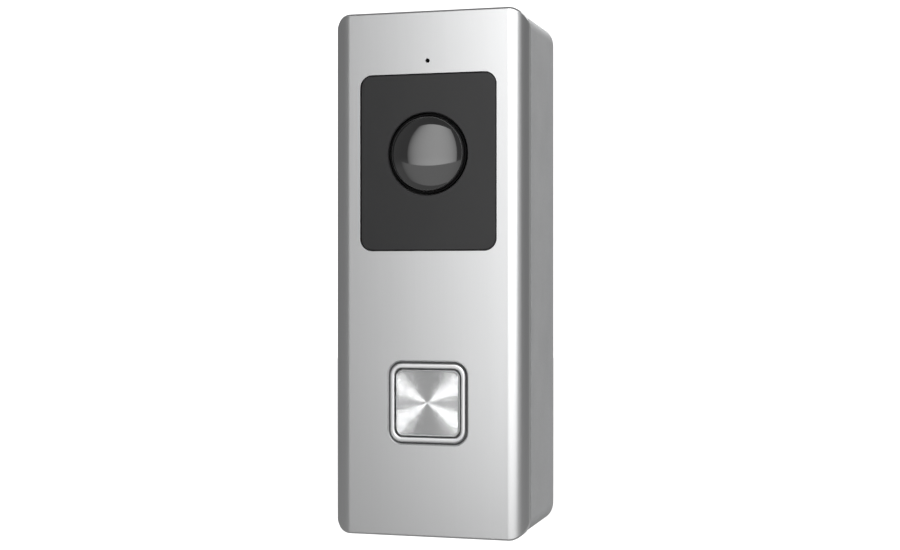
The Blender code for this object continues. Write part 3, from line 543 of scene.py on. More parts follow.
# Seals: the housing's cord, the window's foam tape, the dome's ring, the microphone's cup and the
# speaker's frame, all moulded or cut from black rubber and squeezed where two pieces meet.
def repaint(finish, *nodes):
    """Give carried-over CAD pieces a finish."""
    for node in nodes:
        for material_slot in frame["nodes"][node].material_slots:
            material_slot.material = finish.material


rubber = Finish("black_rubber", Specular_IOR_Level=0.3)
rubber.grain((0.022, 0.022, 0.023), 0.25, 0.72, 0.08, 3.0, 0.02)
repaint(rubber, "housing_gasket", "window_gasket", "dome_seal", "microphone_boot", "speaker_gasket")


# Main board: green glass-fibre board with its processor, radio can, coil and capacitor soldered on, held
# by two screws. The small parts stand in two fields, and a finned aluminium block cools the processor.
TRACK_PITCH, VIA_PITCH = 1.27, 2.54
FIN_COUNT, FIN_GAP, FIN_FOOT, BASE_DEPTH = 6, 1.27, 0.2, 1.0
PART_FIELDS = ((0.0, 34.0, 30.0, 18.0), (0.0, -33.5, 30.0, 11.0))


class Pattern(Graph):
    """A Geometry Nodes tree with named inputs, run once and then frozen into a plain mesh."""

    def __init__(self, name, **sizes):
        kinds = {int: "NodeSocketInt", float: "NodeSocketFloat", tuple: "NodeSocketVector",
                 bpy.types.Object: "NodeSocketObject"}
        self.tree = bpy.data.node_groups.new(name, "GeometryNodeTree")
        self.tree.interface.new_socket("Geometry", in_out="OUTPUT", socket_type="NodeSocketGeometry")
        self.values = {}
        for label, value in sizes.items():
            made = self.tree.interface.new_socket(label, in_out="INPUT", socket_type=kinds[type(value)])
            self.values[made.identifier] = value
        self.given = self.tree.nodes.new("NodeGroupInput")
        self.result = self.tree.nodes.new("NodeGroupOutput")

    def size(self, label):
        return Number(self, self.given.outputs[label])

    def run(self, name, geometry, finish):
        real = self.node("GeometryNodeRealizeInstances", None, {"Geometry": geometry})
        painted = self.node("GeometryNodeSetMaterial", None, {"Geometry": real, "Material": finish.material})
        self.feed(self.result.inputs[0], painted)
        made = bpy.data.objects.new(name, bpy.data.meshes.new(name))
        bpy.context.scene.collection.objects.link(made)
        modifier = made.modifiers.new(name, "NODES")
        modifier.node_group = self.tree
        for identifier, value in self.values.items():
            modifier[identifier] = value
        return freeze(made)


def set_out(name, part, centre, width, height, columns, rows, finish, keep=1.0):
    """Copies of a part on an upright grid, some left out at random, joined into one piece."""
    lay = Pattern(name, Part=part, Width=width * MM, Height=height * MM, Columns=columns, Rows=rows,
                  Centre=tuple(value * MM for value in centre), Keep=keep)
    sizes = {"Size X": lay.size("Width"), "Size Y": lay.size("Height"),
             "Vertices X": lay.size("Columns"), "Vertices Y": lay.size("Rows")}
    grid = lay.node("GeometryNodeMeshGrid", None, sizes, "Mesh")
    upright = {"Geometry": grid, "Rotation": (math.pi / 2, 0.0, 0.0), "Translation": lay.size("Centre")}
    stood = lay.node("GeometryNodeTransform", None, upright)
    draw = lay.node("FunctionNodeRandomValue", {"data_type": "FLOAT"}, {"Seed": 7}, "Value")
    copy = lay.node("GeometryNodeObjectInfo", None, {"Object": lay.size("Part")}, "Geometry")
    stands = {"Points": stood, "Selection": draw < lay.size("Keep"), "Instance": copy}
    made = lay.run(name, lay.node("GeometryNodeInstanceOnPoints", None, stands), finish)
    bpy.data.objects.remove(part, do_unlink=True)
    return made


def turned(profile, u=0.0, v=0.0, axis="Y", steps=72):
    """Turn an open profile of (radius, along) points; it closes on the axis or back on itself."""
    made = bmesh.new()
    rings = []
    for radius, along in profile:
        count = steps if radius > 1e-6 else 1
        spots = [(u + radius * math.cos(i * math.tau / steps), v + radius * math.sin(i * math.tau / steps))
                 for i in range(count)]
        rings.append([made.verts.new(at(axis, a, b, along)) for a, b in spots])
    pairs = list(zip(rings, rings[1:]))
    if len(rings[0]) > 1:
        pairs.append((rings[-1], rings[0]))
    for near, far in pairs:
        for i in range(steps):
            j = (i + 1) % steps
            corners = [near[i % len(near)], near[j % len(near)], far[j % len(far)], far[i % len(far)]]
            if len(set(corners)) > 2:
                made.faces.new(dict.fromkeys(corners))
    return made


def screw(name, head, shank, seat, crown, tip, u=0.0, v=0.0, axis="Y", pitch=0.6):
    """Pan-head screw with a cross recess: seat is under the head, crown its top and tip its end."""
    rise = math.copysign(1.0, crown - seat)
    root, dome = shank * 0.78, abs(crown - seat) * 0.35
    profile = [(0.0, crown), (head * 0.55, crown), (head * 0.82, crown - rise * dome * 0.35),
               (head, crown - rise * dome * 1.4), (head, seat + rise * 0.1), (head - 0.1, seat),
               (shank, seat)]
    threads = int((abs(seat - tip) - 1.5 * shank) / pitch)
    for turn in range(threads):
        start = seat - rise * (0.4 + turn * pitch)
        profile += [(root, start), (root, start - rise * pitch * 0.35), (shank, start - rise * pitch * 0.65),
                    (shank, start - rise * pitch * 0.8)]
    profile += [(root, tip + rise * shank * 0.8), (root * 0.35, tip), (0.0, tip)]
    body = build(turned(profile, u, v, axis, 28), name)
    arm, slit, depth = head * 0.58, 0.24, abs(crown - seat) * 0.65
    corners = ((-1, -1), (1, -1), (1, 1), (-1, 1))
    for half_u, half_v in ((arm, slit), (slit, arm)):
        notch = [(u + side_u * half_u, v + side_v * half_v) for side_u, side_v in corners]
        shape(body, "DIFFERENCE", prism(notch, crown - rise * depth, crown + rise, axis))
    return body


circuit = Finish("green_circuit_board", Coat_Weight=0.4, Coat_Roughness=0.2)
across, _, upward = circuit.axes()
lane = (across / TRACK_PITCH) % 1.0
step_z = (upward / TRACK_PITCH) % 1.0
patches = circuit.cells(0.22, "Color")
turn_x, turn_z, _ = circuit.axes(patches)
track_x = (lane < 0.3) * (turn_x > 0.45)
track_z = (step_z < 0.3) * (turn_z > 0.55)
track = track_x.sign("MAXIMUM", track_x, track_z)
mask_green = circuit.tint(track, (0.010, 0.105, 0.045), (0.022, 0.190, 0.075))
via = circuit.cells(1.0 / VIA_PITCH, "Distance") < 0.11
circuit.drive("Base Color", circuit.tint(via, mask_green, (0.72, 0.60, 0.34)))
circuit.drive("Metallic", via * 0.9)
circuit.drive("Roughness", circuit.spread(circuit.noise(2.0), 0.3, 0.7, 0.32, 0.46))
circuit.relief(track * 0.6 + via, 0.03)
repaint(circuit, "main_board", "camera_board", "button_board", "illuminator_board", "light_sensor_board")

package = Finish("chip_package", Specular_IOR_Level=0.4)
package.grain((0.020, 0.020, 0.021), 0.2, 0.5, 0.07, 4.0, 0.01)
repaint(package, "processor", "power_inductor", "light_sensor", "reset_switch")

tin = Finish("tinned_can", Metallic=1.0)
tin.grain((0.64, 0.64, 0.62), 0.05, 0.3, 0.06, 1.2, 0.01, (1.0, 1.0, 6.0))
repaint(tin, "radio_module", "microphone")

sleeve = Finish("printed_sleeve", Coat_Weight=0.3)
sleeve_x, _, _ = sleeve.axes()
stripe = (sleeve_x % 9.0) < 0.8
sleeve.drive("Base Color", sleeve.tint(stripe, (0.012, 0.030, 0.110), (0.55, 0.57, 0.60)))
sleeve.drive("Roughness", sleeve.spread(sleeve.noise(1.5), 0.3, 0.7, 0.28, 0.42))
sleeve.relief(sleeve.noise(3.0), 0.01)
repaint(sleeve, "power_capacitor")

film = Finish("amber_ribbon_film", Coat_Weight=0.3)
film_x, _, _ = film.axes()
copper = ((film_x / 0.5) % 1.0) < 0.45
film.drive("Base Color", film.tint(copper, (0.42, 0.17, 0.020), (0.62, 0.27, 0.045)))
film.drive("Roughness", film.spread(film.noise(1.0), 0.3, 0.7, 0.26, 0.42))
film.relief(copper, 0.02)
repaint(film, "camera_ribbon", "button_ribbon", "antenna")

small_parts = Finish("ceramic_parts")
ceramic_shade = small_parts.axes(small_parts.cells(0.4, "Color"))[1]
ceramic = small_parts.tint(ceramic_shade > 0.5, (0.016, 0.016, 0.018), (0.36, 0.27, 0.17))
small_parts.drive("Base Color", ceramic)
small_parts.drive("Roughness", small_parts.spread(small_parts.noise(3.0), 0.3, 0.7, 0.35, 0.55))
small_parts.relief(small_parts.noise(8.0), 0.01)
board = Span("main_board")
for number, (x, z, width, height) in enumerate(PART_FIELDS, 1):
    chip = build(block(-0.6, 0.6, -0.55, 0.0, -0.35, 0.35), "ceramic_chip")
    soften(chip, 0.08, 1)
    field = set_out(f"board_parts_{number}", chip, (x, board.front, z), width, height, 11,
                    int(height / 1.8), small_parts, 0.62)
    hand_over(field, small_parts, "unit", "chip_package")

sink = Finish("drawn_aluminium", Metallic=1.0)
sink.grain((0.62, 0.63, 0.65), 0.06, 0.33, 0.05, 2.0, 0.015, (1.0, 1.0, 14.0))
cooler = Span("processor_heat_sink")
base_front = cooler.rear - BASE_DEPTH
pad = block(cooler.left, cooler.right, base_front, cooler.rear, cooler.bottom, cooler.top)
pad = build(pad, "heat_sink_base")
fin = block(-FIN_GAP / 2, FIN_GAP / 2, cooler.front, base_front + FIN_FOOT, cooler.bottom, cooler.top)
fin = build(fin, "heat_sink_fin")
soften(fin, 0.2, 2)
fin_span = cooler.width - FIN_GAP
fins = set_out("heat_sink_fins", fin, (0, 0, 0), fin_span, 0.0, FIN_COUNT, 1, sink)
soften(pad, 0.15, 2)
hand_over(fins, sink, "unit", "sink_aluminium")
hand_over(pad, sink, "unit", "sink_aluminium", "processor_heat_sink")

for number, (x, z) in enumerate(BOARD_SCREWS, 1):
    old = Span(f"board_screw_{number}")
    fixing = screw(f"board_screw_{number}_threaded", 1.9, 0.8, board.front - 0.3, old.front, old.rear, x, z)
    hand_over(fixing, zinc, "unit", "zinc_steel", f"board_screw_{number}", sharp=30)


# Loudspeaker: an oval paper cone in a black moulded basket with a steel-cased magnet on its back, glued
# over the slots, and a twin lead that is soldered to the main board.
moulded = Finish("black_moulding", Specular_IOR_Level=0.45)
moulded.grain((0.014, 0.014, 0.015), 0.2, 0.42, 0.06, 2.5, 0.02)
repaint(moulded, "speaker_frame", "terminal_block", "front_frame", "window_carrier", "lens_holder",
        "switch_body")

paper = Finish("speaker_paper", Sheen_Weight=0.2)
fibres = paper.noise(2.2, 6.0, (3.0, 1.0, 1.0))
pulp = paper.spread(fibres, 0.3, 0.7)
paper.drive("Base Color", paper.tint(pulp, (0.030, 0.029, 0.028), (0.055, 0.053, 0.050)))
paper.drive("Roughness", paper.spread(fibres, 0.3, 0.7, 0.75, 0.92))
paper.relief(fibres, 0.06)
repaint(paper, "speaker_cone")
repaint(zinc, "speaker_magnet")
repaint(rubber, "speaker_cable")


# Bell terminals and reset: two brass screws in the black block take the bell wires, and a white button
# on the back reaches the reset switch through the partition.
brass = Finish("turned_brass", Metallic=1.0)
brass.grain((0.66, 0.46, 0.17), 0.08, 0.30, 0.06, 1.5, 0.012)
for number in (1, 2):
    name = f"terminal_screw_{number}"
    old = Span(name)
    clamp = screw(f"{name}_threaded", old.width / 2, 1.2, old.rear - 1.5, old.rear, old.front, old.x, old.z,
                  pitch=0.7)
    hand_over(clamp, brass, name, "terminal_brass", name, sharp=30)

white = Finish("white_moulding", Subsurface_Weight=0.05)
white.grain((0.72, 0.72, 0.70), 0.03, 0.4, 0.05, 2.0, 0.01)
repaint(white, "button_plunger", "switch_plunger")
stem = Span("reset_button")
pin = [(0.0, stem.rear), (1.05, stem.rear), (1.3, stem.rear - 0.12), (1.4, stem.rear - 0.35),
       (1.4, stem.front), (0.0, stem.front)]
reset_pin = build(turned(pin, stem.x, stem.z), "reset_pin")
hand_over(reset_pin, white, "reset", "white_plastic", "reset_button", sharp=30)


# Camera: a threaded barrel with a coated glass front element screws into its holder over the sensor.
# Infrared lamps and a light sensor on small strips beside it look out through the window.
BARREL_BORE, GLASS_BORE, SEAT_Y, STOP_Y = 4.0, 4.6, -28.6, -30.5
BARREL_THREADS, THREAD_START, THREAD_PITCH = 12, -27.6, 0.4
GLASS_RISE, GLASS_STEPS = 1.4, 12
PIXEL_PITCH = 0.05
barrel_span, glass_span = Span("lens_barrel"), Span("lens_element")
lens_x, lens_z = barrel_span.x, barrel_span.z
barrel_front = barrel_span.front
wide = barrel_span.width / 2
barrel = [(BARREL_BORE, barrel_span.rear), (BARREL_BORE, SEAT_Y), (GLASS_BORE, SEAT_Y), (GLASS_BORE, STOP_Y),
          (wide - 0.4, STOP_Y), (wide - 0.4, barrel_front + 0.1), (wide - 0.3, barrel_front),
          (wide - 0.1, barrel_front), (wide, barrel_front + 0.1)]
for turn in range(BARREL_THREADS):
    thread = THREAD_START + turn * THREAD_PITCH
    barrel += [(wide, thread), (wide - 0.18, thread + THREAD_PITCH / 2)]
barrel += [(wide, barrel_span.rear)]
barrel_piece = build(turned(barrel, lens_x, lens_z, steps=96), "lens_barrel_threaded")
hand_over(barrel_piece, moulded, "unit", "black_plastic", "lens_barrel", sharp=30)

coated = Finish("coated_lens_glass", IOR=1.6, Coat_Weight=1.0, Coat_Roughness=0.02)
# Painted reflection: the base colour goes from near black to blue as the glass is seen more edge-on, standing
# in for the coating's reflection.
painted_coating_sheen = coated.node("ShaderNodeLayerWeight", None, {"Blend": 0.35}, "Facing")
coated.drive("Base Color", coated.tint(painted_coating_sheen, (0.012, 0.010, 0.030), (0.030, 0.060, 0.110)))
coated.drive("Roughness", coated.spread(coated.noise(1.0), 0.3, 0.7, 0.02, 0.05))
glass_radius = glass_span.width / 2
glass_curve = (glass_radius ** 2 + GLASS_RISE ** 2) / (2 * GLASS_RISE)
glass_edge = math.asin(glass_radius / glass_curve)
glass_angles = [glass_edge * i / GLASS_STEPS for i in range(GLASS_STEPS + 1)]
glass = [(glass_curve * math.sin(angle), glass_span.front + glass_curve * (1 - math.cos(angle)))
         for angle in glass_angles]
glass += [(glass_radius, glass_span.rear), (0.0, glass_span.rear)]
glass_piece = build(turned(glass, lens_x, lens_z, steps=96), "lens_front_glass")
hand_over(glass_piece, coated, "unit", "coated_glass", "lens_element", sharp=30)

sensor = Finish("sensor_glass", Coat_Weight=1.0, Coat_Roughness=0.03)
sensor_x, _, sensor_z = sensor.axes()
active = (sensor_x % PIXEL_PITCH < 0.04) * (sensor_z % PIXEL_PITCH < 0.04)
sensor.drive("Base Color", sensor.tint(active, (0.04, 0.04, 0.05), (0.07, 0.10, 0.12)))
sensor.drive("Roughness", sensor.spread(sensor.noise(2.0), 0.3, 0.7, 0.10, 0.20))
repaint(sensor, "image_sensor")

dark_lamp = Finish("dark_epoxy_lamp", Coat_Weight=0.8, Coat_Roughness=0.05)
dark_lamp.grain((0.030, 0.012, 0.036), 0.3, 0.15, 0.05, 1.0, 0.01)
BULB_RADIUS, BULB_RISE, BRIM_DEPTH, BULB_STEPS = 1.2, 0.4, 0.4, 8
for number in (1, 2, 3):
    old = Span(f"infrared_led_{number}")
    brim = old.width / 2
    bulb_angles = [i * math.pi / 2 / BULB_STEPS for i in range(BULB_STEPS + 1)]
    bulb = [(BULB_RADIUS * math.sin(angle), old.front + BULB_RISE * (1 - math.cos(angle)))
            for angle in bulb_angles]
    bulb += [(BULB_RADIUS, old.rear - BRIM_DEPTH), (brim, old.rear - BRIM_DEPTH), (brim, old.rear),
             (0.0, old.rear)]
    lamp = build(turned(bulb, old.x, old.z, steps=40), f"infrared_lamp_{number}")
    hand_over(lamp, dark_lamp, "unit", "dark_led", f"infrared_led_{number}", sharp=30)


# Button works: the cap's white plunger rests on a coil spring and reaches the tact switch on the button
# board, whose two white lamps light the ring from behind.
spring_span = Span("return_spring")
SPRING_WIRE, SPRING_TURNS = 0.3, 4
spring_steel = Finish("spring_wire", Metallic=1.0)
spring_steel.grain((0.58, 0.58, 0.59), 0.06, 0.25, 0.05, 6.0, 0.004)
coil = Pattern("coil_spring", Radius=(spring_span.width / 2 - SPRING_WIRE) * MM, Wire=SPRING_WIRE * MM,
               Rise=(spring_span.depth - 2 * SPRING_WIRE) * MM, Turns=float(SPRING_TURNS),
               Foot=(spring_span.x * MM, (spring_span.rear - SPRING_WIRE) * MM, spring_span.z * MM))
turns = {"Resolution": 40, "Rotations": coil.size("Turns"), "Start Radius": coil.size("Radius"),
         "End Radius": coil.size("Radius"), "Height": coil.size("Rise")}
helix = coil.node("GeometryNodeCurveSpiral", None, turns)
wire_size = {"Resolution": 10, "Radius": coil.size("Wire")}
wire_round = coil.node("GeometryNodeCurvePrimitiveCircle", None, wire_size)
skin = {"Curve": helix, "Profile Curve": wire_round, "Fill Caps": True}
wire = coil.node("GeometryNodeCurveToMesh", None, skin)
lying = coil.node("GeometryNodeTransform", None, {"Geometry": wire, "Rotation": (math.pi / 2, 0.0, 0.0),
                                                  "Translation": coil.size("Foot")})
spring = coil.run("return_spring_coil", lying, spring_steel)
hand_over(spring, spring_steel, "unit", "zinc_steel", "return_spring", sharp=60)
press = next(joint for joint in frame["joints"] if joint["name"] == "button_press")["range_m"][1]
1 - press / (spring_span.depth * MM)
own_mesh(spring)

clear_lamp = Finish("clear_epoxy_lamp", Coat_Weight=0.8, Coat_Roughness=0.05)
phosphor = clear_lamp.cells(1.1, "Distance")
lit_spot = clear_lamp.spread(phosphor, 0.1, 0.6)
clear_lamp.drive("Base Color", clear_lamp.tint(lit_spot, (0.72, 0.66, 0.30), (0.80, 0.81, 0.83)))
clear_lamp.drive("Roughness", clear_lamp.spread(clear_lamp.noise(2.0), 0.3, 0.7, 0.12, 0.22))
repaint(clear_lamp, "ring_led_1", "ring_led_2")


# Button ring and cap: the ring is moulded and plated a satin silver, with a fine line round its face.
# The cap is a square of aluminium with a cut chamfer, its face spun so that the tool's rings show.
RING_WIDTH, RING_HEIGHT, RING_CORNER, RING_WALL = 18.4, 18.6, 2.9, 1.05
RING_FLANGE, RING_REAR, CARRIER_REAR = 1.75, -30.0, -28.8
SPUN_TILT, SCRATCHES_PER_MM = 0.30, 400.0
CAP_CORNER, CAP_CHAMFER = 1.9, 0.35
ring_span, cap_span = Span("button_bezel"), Span("button_cap")

satin = Finish("satin_silver_plate", Metallic=1.0)
satin.grain((0.88, 0.885, 0.89), 0.015, 0.34, 0.03, 1.5, 0.004)


def framed(profile, width, height, corner, u, v, tall=1.0, steps=10):
    """A frame swept round a rounded rectangle; the profile gives (distance in from its edge, depth)."""
    rings = []
    for inset, y in profile:
        rise = inset * tall if inset > 0 else inset
        outline = rounded(width - 2 * inset, height - 2 * rise, max(corner - inset, 0.25), u, v, steps)
        rings.append([at("Y", a, b, y) for a, b in outline])
    return rings


top = ring_span.front
ring_outline = (RING_WIDTH, RING_HEIGHT, RING_CORNER, ring_span.x, ring_span.z, 1.143)
ring_profile = [(0.0, RING_REAR), (0.0, top + 0.25), (0.08, top + 0.10), (0.22, top + 0.02), (0.36, top),
                (0.49, top), (0.52, top + 0.05), (0.57, top + 0.05), (0.60, top), (0.80, top),
                (0.93, top + 0.05), (1.02, top + 0.16), (RING_WALL, top + 0.3), (RING_WALL, RING_REAR)]
ring = build(loft(framed(ring_profile, *ring_outline), True), "button_ring")
hand_over(ring, satin, "unit", "silver_ring", "button_bezel", sharp=35)
carrier_profile = [(-RING_FLANGE, RING_REAR), (RING_WALL, RING_REAR), (RING_WALL, CARRIER_REAR),
                   (-RING_FLANGE, CARRIER_REAR)]
carrier = build(loft(framed(carrier_profile, *ring_outline), True), "button_ring_carrier")
carrier_grey = Finish("grey_moulding")
carrier_grey.grain((0.16, 0.16, 0.165), 0.08, 0.5, 0.06, 2.0, 0.01)
hand_over(carrier, carrier_grey, "unit", "silver_ring")
linked([softbox("ring_fill", 0.25, (-0.3, FRONT_LIGHT_Y, 0.1), 1.8, 1.6, (-0.3, 0.0, 0.1))], ring, "INCLUDE")

spun = Finish("spun_aluminium", Metallic=1.0)


def lean(finish, direction, amount):
    """Tilt a finish's normal along a direction, mark by mark, as a tool or a brush leaves the metal."""
    outward = finish.node("ShaderNodeTexCoord", out="Normal")
    tilted = finish.vector("ADD", outward, finish.vector("SCALE", direction, Scale=amount))
    spaces = {"vector_type": "NORMAL", "convert_from": "OBJECT", "convert_to": "WORLD"}
    turned_out = finish.node("ShaderNodeVectorTransform", spaces, {0: tilted})
    finish.drive("Normal", finish.vector("NORMALIZE", turned_out))


def facing(finish):
    """1 on faces that look to the front, and 0 on the sides and chamfers."""
    outward = finish.node("ShaderNodeTexCoord", out="Normal")
    return finish.axes(outward)[1] < -0.97


from_centre = spun.vector("SUBTRACT", spun.spot, (cap_span.x, 0.0, cap_span.z))
flat_centre = spun.vector("MULTIPLY", from_centre, (1.0, 0.0, 1.0))
radius = spun.vector("LENGTH", flat_centre, out="Value")
one_way = {"noise_dimensions": "1D"}
bands = spun.node("ShaderNodeTexNoise", one_way, {"W": radius, "Scale": 4.0, "Detail": 3.0}, "Fac")
scratches = spun.node("ShaderNodeTexWhiteNoise", one_way, {"W": radius * SCRATCHES_PER_MM}, "Value")
tool_marks = scratches * 2.0 - 1.0
lean(spun, spun.vector("NORMALIZE", flat_centre), tool_marks * facing(spun) * SPUN_TILT)
spun_shade = spun.spread(bands, 0.3, 0.7)
spun.drive("Base Color", spun.tint(spun_shade, (0.86, 0.865, 0.87), (0.93, 0.935, 0.94)))
spun.drive("Roughness", spun.spread(spun.noise(0.8), 0.3, 0.7, 0.24, 0.27))

face = cap_span.front
cap_profile = [(0.0, cap_span.rear), (0.0, face + CAP_CHAMFER + 0.03), (0.01, face + CAP_CHAMFER),
               (CAP_CHAMFER, face), (CAP_CHAMFER + 0.12, face), (CAP_CHAMFER + 0.18, face + 0.05),
               (CAP_CHAMFER + 0.24, face + 0.05)]
cap_outline = (cap_span.width, cap_span.height, CAP_CORNER, cap_span.x, cap_span.z)
cap = build(loft(framed(cap_profile, *cap_outline)), "button_cap_spun")
hand_over(cap, spun, "button", "spun_cap", "button_cap", sharp=25)
linked(key_lights, cap, "EXCLUDE")
glints = [softbox("cap_glint_high", 7.4, (0.116, FRONT_LIGHT_Y, 0.154), 0.26, 0.22, (0.0, 0.0, -0.03)),
          softbox("cap_glint_low", 7.4, (0.125, FRONT_LIGHT_Y, -0.39), 0.26, 0.22, (0.0, 0.0, -0.03)),
          softbox("cap_fill", 0.05, (0.1, FRONT_LIGHT_Y, 0.2), 2.6, 1.8, (0.1, 0.0, 0.2))]
linked(glints, cap, "INCLUDE")


# Window, ring and dome: a smoked acrylic panel with polished edges, a black moulded ring pressed into
# its opening, and a blown polycarbonate dome, smoked almost black, clamped behind the ring.
window_span, bezel_span, dome_span = Span("camera_window"), Span("lens_bezel"), Span("lens_dome")
FLANGE, FLANGE_CORNER, PLATE_REAR, LENS_HOLE = 1.2, 3.0, -29.6, 9.7
BEZEL_INNER, BEZEL_OUTER, BEZEL_STEP_Y = 8.95, 9.4, -29.3
DOME_RADIUS, DOME_RISE, DOME_WALL, DOME_STEPS, SKIRT_Y = 8.65, 3.45, 1.2, 24, -28.3
window_width, window_height = window_span.width - 2 * FLANGE, window_span.height - 2 * FLANGE

smoked = Finish("smoked_acrylic", IOR=1.49)
haze = smoked.spread(smoked.noise(0.05, 2.0), 0.3, 0.7)
smoked.drive("Base Color", smoked.tint(haze, (0.027, 0.027, 0.028), (0.031, 0.031, 0.032)))
wipe_marks = smoked.noise(0.6, 6.0, (1.0, 1.0, 5.0))
smoked.drive("Roughness", smoked.spread(wipe_marks, 0.35, 0.75, 0.30, 0.34))

window_front, window_rear = window_span.front, window_span.rear
panel_outline = rounded(window_width, window_height, 2.75, 0, window_span.z, 12)
panel = build(prism(panel_outline, window_front, window_rear - FLANGE + 0.4), "camera_window_panel")
soften(panel, 0.16, 3)
flange_outline = rounded(window_span.width, window_span.height, FLANGE_CORNER, 0, window_span.z)
flange = prism(flange_outline, window_rear - FLANGE, window_rear)
pocket_outline = rounded(window_width - 4, window_height - 4, 2, 0, window_span.z)
pocket = prism(pocket_outline, PLATE_REAR, window_rear + 1)
hole_edge = [(0.0, window_front - 1), (LENS_HOLE + 1.2, window_front - 1), (LENS_HOLE, window_front + 0.2),
             (LENS_HOLE, window_rear + 1), (0.0, window_rear + 1)]
lens_rim = turned(hole_edge, lens_x, lens_z, steps=128)
shape(panel, "UNION", flange)
shape(panel, "DIFFERENCE", pocket, lens_rim)
hand_over(panel, smoked, "unit", "smoked_window", "camera_window", sharp=30)

bezel_gloss = Finish("black_ring_moulding", Coat_Weight=0.2, Coat_Roughness=0.2)
bezel_gloss.grain((0.010, 0.010, 0.011), 0.2, 0.30, 0.05, 3.0, 0.01)
bezel_front, brim = bezel_span.front, bezel_span.width / 2
bezel_ring = [(BEZEL_INNER, bezel_front + 0.25), (BEZEL_INNER + 0.12, bezel_front + 0.04),
              (BEZEL_INNER + 0.22, bezel_front), (BEZEL_OUTER - 0.15, bezel_front),
              (BEZEL_OUTER, bezel_front + 0.15), (BEZEL_OUTER, BEZEL_STEP_Y), (brim, BEZEL_STEP_Y),
              (brim, bezel_span.rear), (BEZEL_INNER, bezel_span.rear)]
bezel = build(turned(bezel_ring, lens_x, lens_z, steps=128), "lens_ring")
hand_over(bezel, bezel_gloss, "unit", "black_plastic", "lens_bezel", sharp=40)
linked(key_lights, bezel, "EXCLUDE")

tinted = Finish("smoked_dome", IOR=2.35)
tinted.drive("Base Color", tinted.tint(tinted.noise(0.15), (0.003, 0.003, 0.0033), (0.005, 0.005, 0.0055)))
from_lens = tinted.vector("SUBTRACT", tinted.spot, (lens_x, 0.0, lens_z))
from_axis = tinted.vector("MULTIPLY", from_lens, (1.0, 0.0, 1.0))
skirt_zone = tinted.vector("LENGTH", from_axis, out="Value") > DOME_RADIUS - 0.12
dome_haze = tinted.spread(tinted.noise(0.7, 4.0), 0.35, 0.7, 0.035, 0.07)
tinted.drive("Roughness", dome_haze + skirt_zone * 0.6)
sphere = (DOME_RADIUS ** 2 + DOME_RISE ** 2) / (2 * DOME_RISE)
dome_centre = dome_span.front + sphere


def cap_of(ball, reach, count=DOME_STEPS):
    """Points from the dome's top to its edge, on a ball about the dome's centre."""
    angles = [math.asin(reach / ball) * i / count for i in range(count + 1)]
    return [(ball * math.sin(angle), dome_centre - ball * math.cos(angle)) for angle in angles]


skirt = [(DOME_RADIUS, SKIRT_Y), (dome_span.width / 2, SKIRT_Y), (dome_span.width / 2, dome_span.rear),
         (DOME_RADIUS - DOME_WALL, dome_span.rear)]
bowl = cap_of(sphere, DOME_RADIUS) + skirt + cap_of(sphere - DOME_WALL, DOME_RADIUS - DOME_WALL)[::-1]
dome = build(turned(bowl, lens_x, lens_z, steps=128), "lens_dome_smoked")
hand_over(dome, tinted, "unit", "smoked_dome", "lens_dome", sharp=30)
linked(key_lights, dome, "EXCLUDE")
dome_lights = [softbox("dome_window", 1.10, (0.165, FRONT_LIGHT_Y, 1.28), 3.51, 3.55, (0.165, 0.0, 1.28)),
               softbox("dome_table", 0.28, (-0.25, FRONT_LIGHT_Y, -1.9), 7.0, 2.8, (-0.25, 0.0, -1.9))]
for lamp in dome_lights:
    Shade(lamp, 0.75)
linked(dome_lights, dome, "INCLUDE")


# Front cover: 1.2 mm aluminium sheet, drawn into a tray with its long edges rolled round, pierced for
# the window, the button and the microphone, then finely brushed upright and clear anodised.
GROOVE_WIDTH, GROOVE_HEIGHT, GROOVE_CORNER = 19.3, 19.5, 3.3
EDGE_BREAK, GROOVE_BREAK = 0.46, 0.32
WINDOW_PLAY, PINHOLE, CUT_FRONT, CUT_REAR = 0.5, 0.52, -33, -29
BRUSH_TILT = 0.012

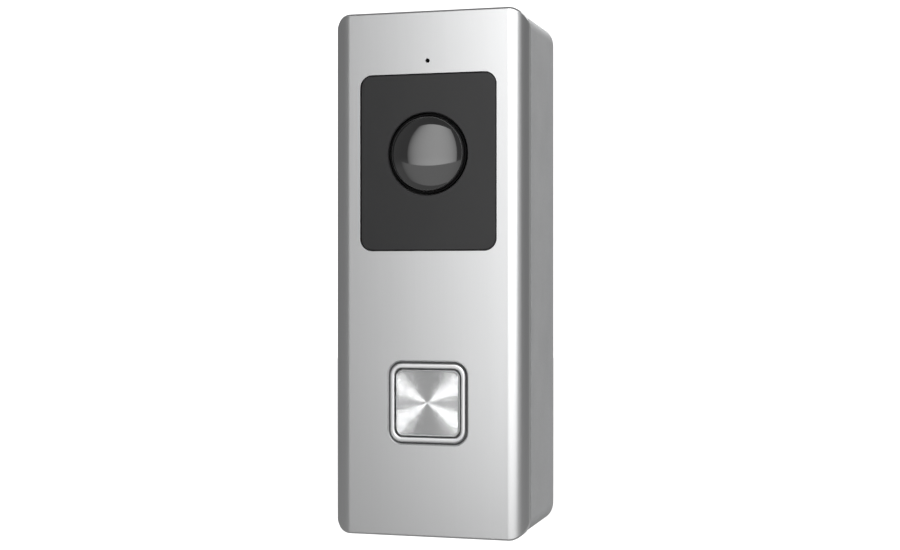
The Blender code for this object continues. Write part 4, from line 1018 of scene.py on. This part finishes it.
brushed = Finish("brushed_aluminium", Metallic=1.0)
fine = brushed.noise(2.4, 2.0, (1.0, 1.0, 60.0))
coarse = brushed.noise(1.6, 4.0, (1.0, 1.0, 60.0))
brush_shade = brushed.spread(fine * 0.5 + coarse * 0.5, 0.3, 0.7)
brushed.drive("Base Color", brushed.tint(brush_shade, (0.868, 0.874, 0.878), (0.880, 0.886, 0.890)))
brushed.drive("Roughness", brushed.spread(coarse, 0.3, 0.7, 0.29, 0.30))
outward_now = brushed.node("ShaderNodeTexCoord", out="Normal")
sideways = brushed.vector("CROSS_PRODUCT", outward_now, (0.0, 0.0, 1.0))
lean(brushed, sideways, (fine - 0.5) * BRUSH_TILT)

cover = build(case_body(0, case.front, case.rear, True, 28, EDGE_BREAK, 0.1), "front_cover_tray")
inside = case_body(COVER_WALL, case.front + COVER_WALL, case.rear + 1, True)
opening = rounded(window_width + WINDOW_PLAY, window_height + WINDOW_PLAY, 3.0, 0, window_span.z, 12)
window_hole = prism(opening, CUT_FRONT, CUT_REAR)
groove = [(-1.0 - GROOVE_BREAK, case.front - 1.0), (0.0, case.front + GROOVE_BREAK), (0.0, CUT_REAR)]
button_hole = loft(framed(groove, GROOVE_WIDTH, GROOVE_HEIGHT, GROOVE_CORNER, 0, ring_span.z, 1.0, 12))
pinhole = rod(PINHOLE, CUT_FRONT, CUT_REAR, 0, Span("microphone").z, steps=32)
shape(cover, "DIFFERENCE", inside, window_hole, button_hole, pinhole)
hand_over(cover, brushed, "unit", "brushed_cover", "front_cover", sharp=30)
linked([rear_light], cover, "INCLUDE")


# Screws: four long ones run from the rear recess into the front frame and hold the casing shut, and a
# blackened one in the underside locks the unit to the bracket's tab.
long_old = Span("cover_screw_1")
long_seat = PARTITION_REAR + 0.3
long_screw = screw("long_screw", long_old.width / 2, 1.0, long_seat, long_old.rear, long_old.front, pitch=0.8)
reach_x, reach_z = 2 * COVER_SCREW_X, 2 * COVER_SCREW_Z
cover_screws = set_out("cover_screws", long_screw, (0, 0, 0), reach_x, reach_z, 2, 2, zinc)
hand_over(cover_screws, zinc, "unit", "zinc_steel", *[f"cover_screw_{n}" for n in (1, 2, 3, 4)], sharp=30)

black_steel = Finish("blackened_steel", Metallic=0.8)
black_steel.grain((0.035, 0.035, 0.038), 0.25, 0.42, 0.06, 3.0, 0.01)
lock_old = Span("security_screw")
lock_seat = LOCK_SEAT_Z - 0.3
lock = screw("security_screw_threaded", lock_old.width / 2, 1.0, lock_seat, lock_old.bottom, lock_old.top,
             lock_old.x, lock_old.y, "Z", 0.5)
hand_over(lock, black_steel, "security_screw", "black_steel", "security_screw", sharp=30)
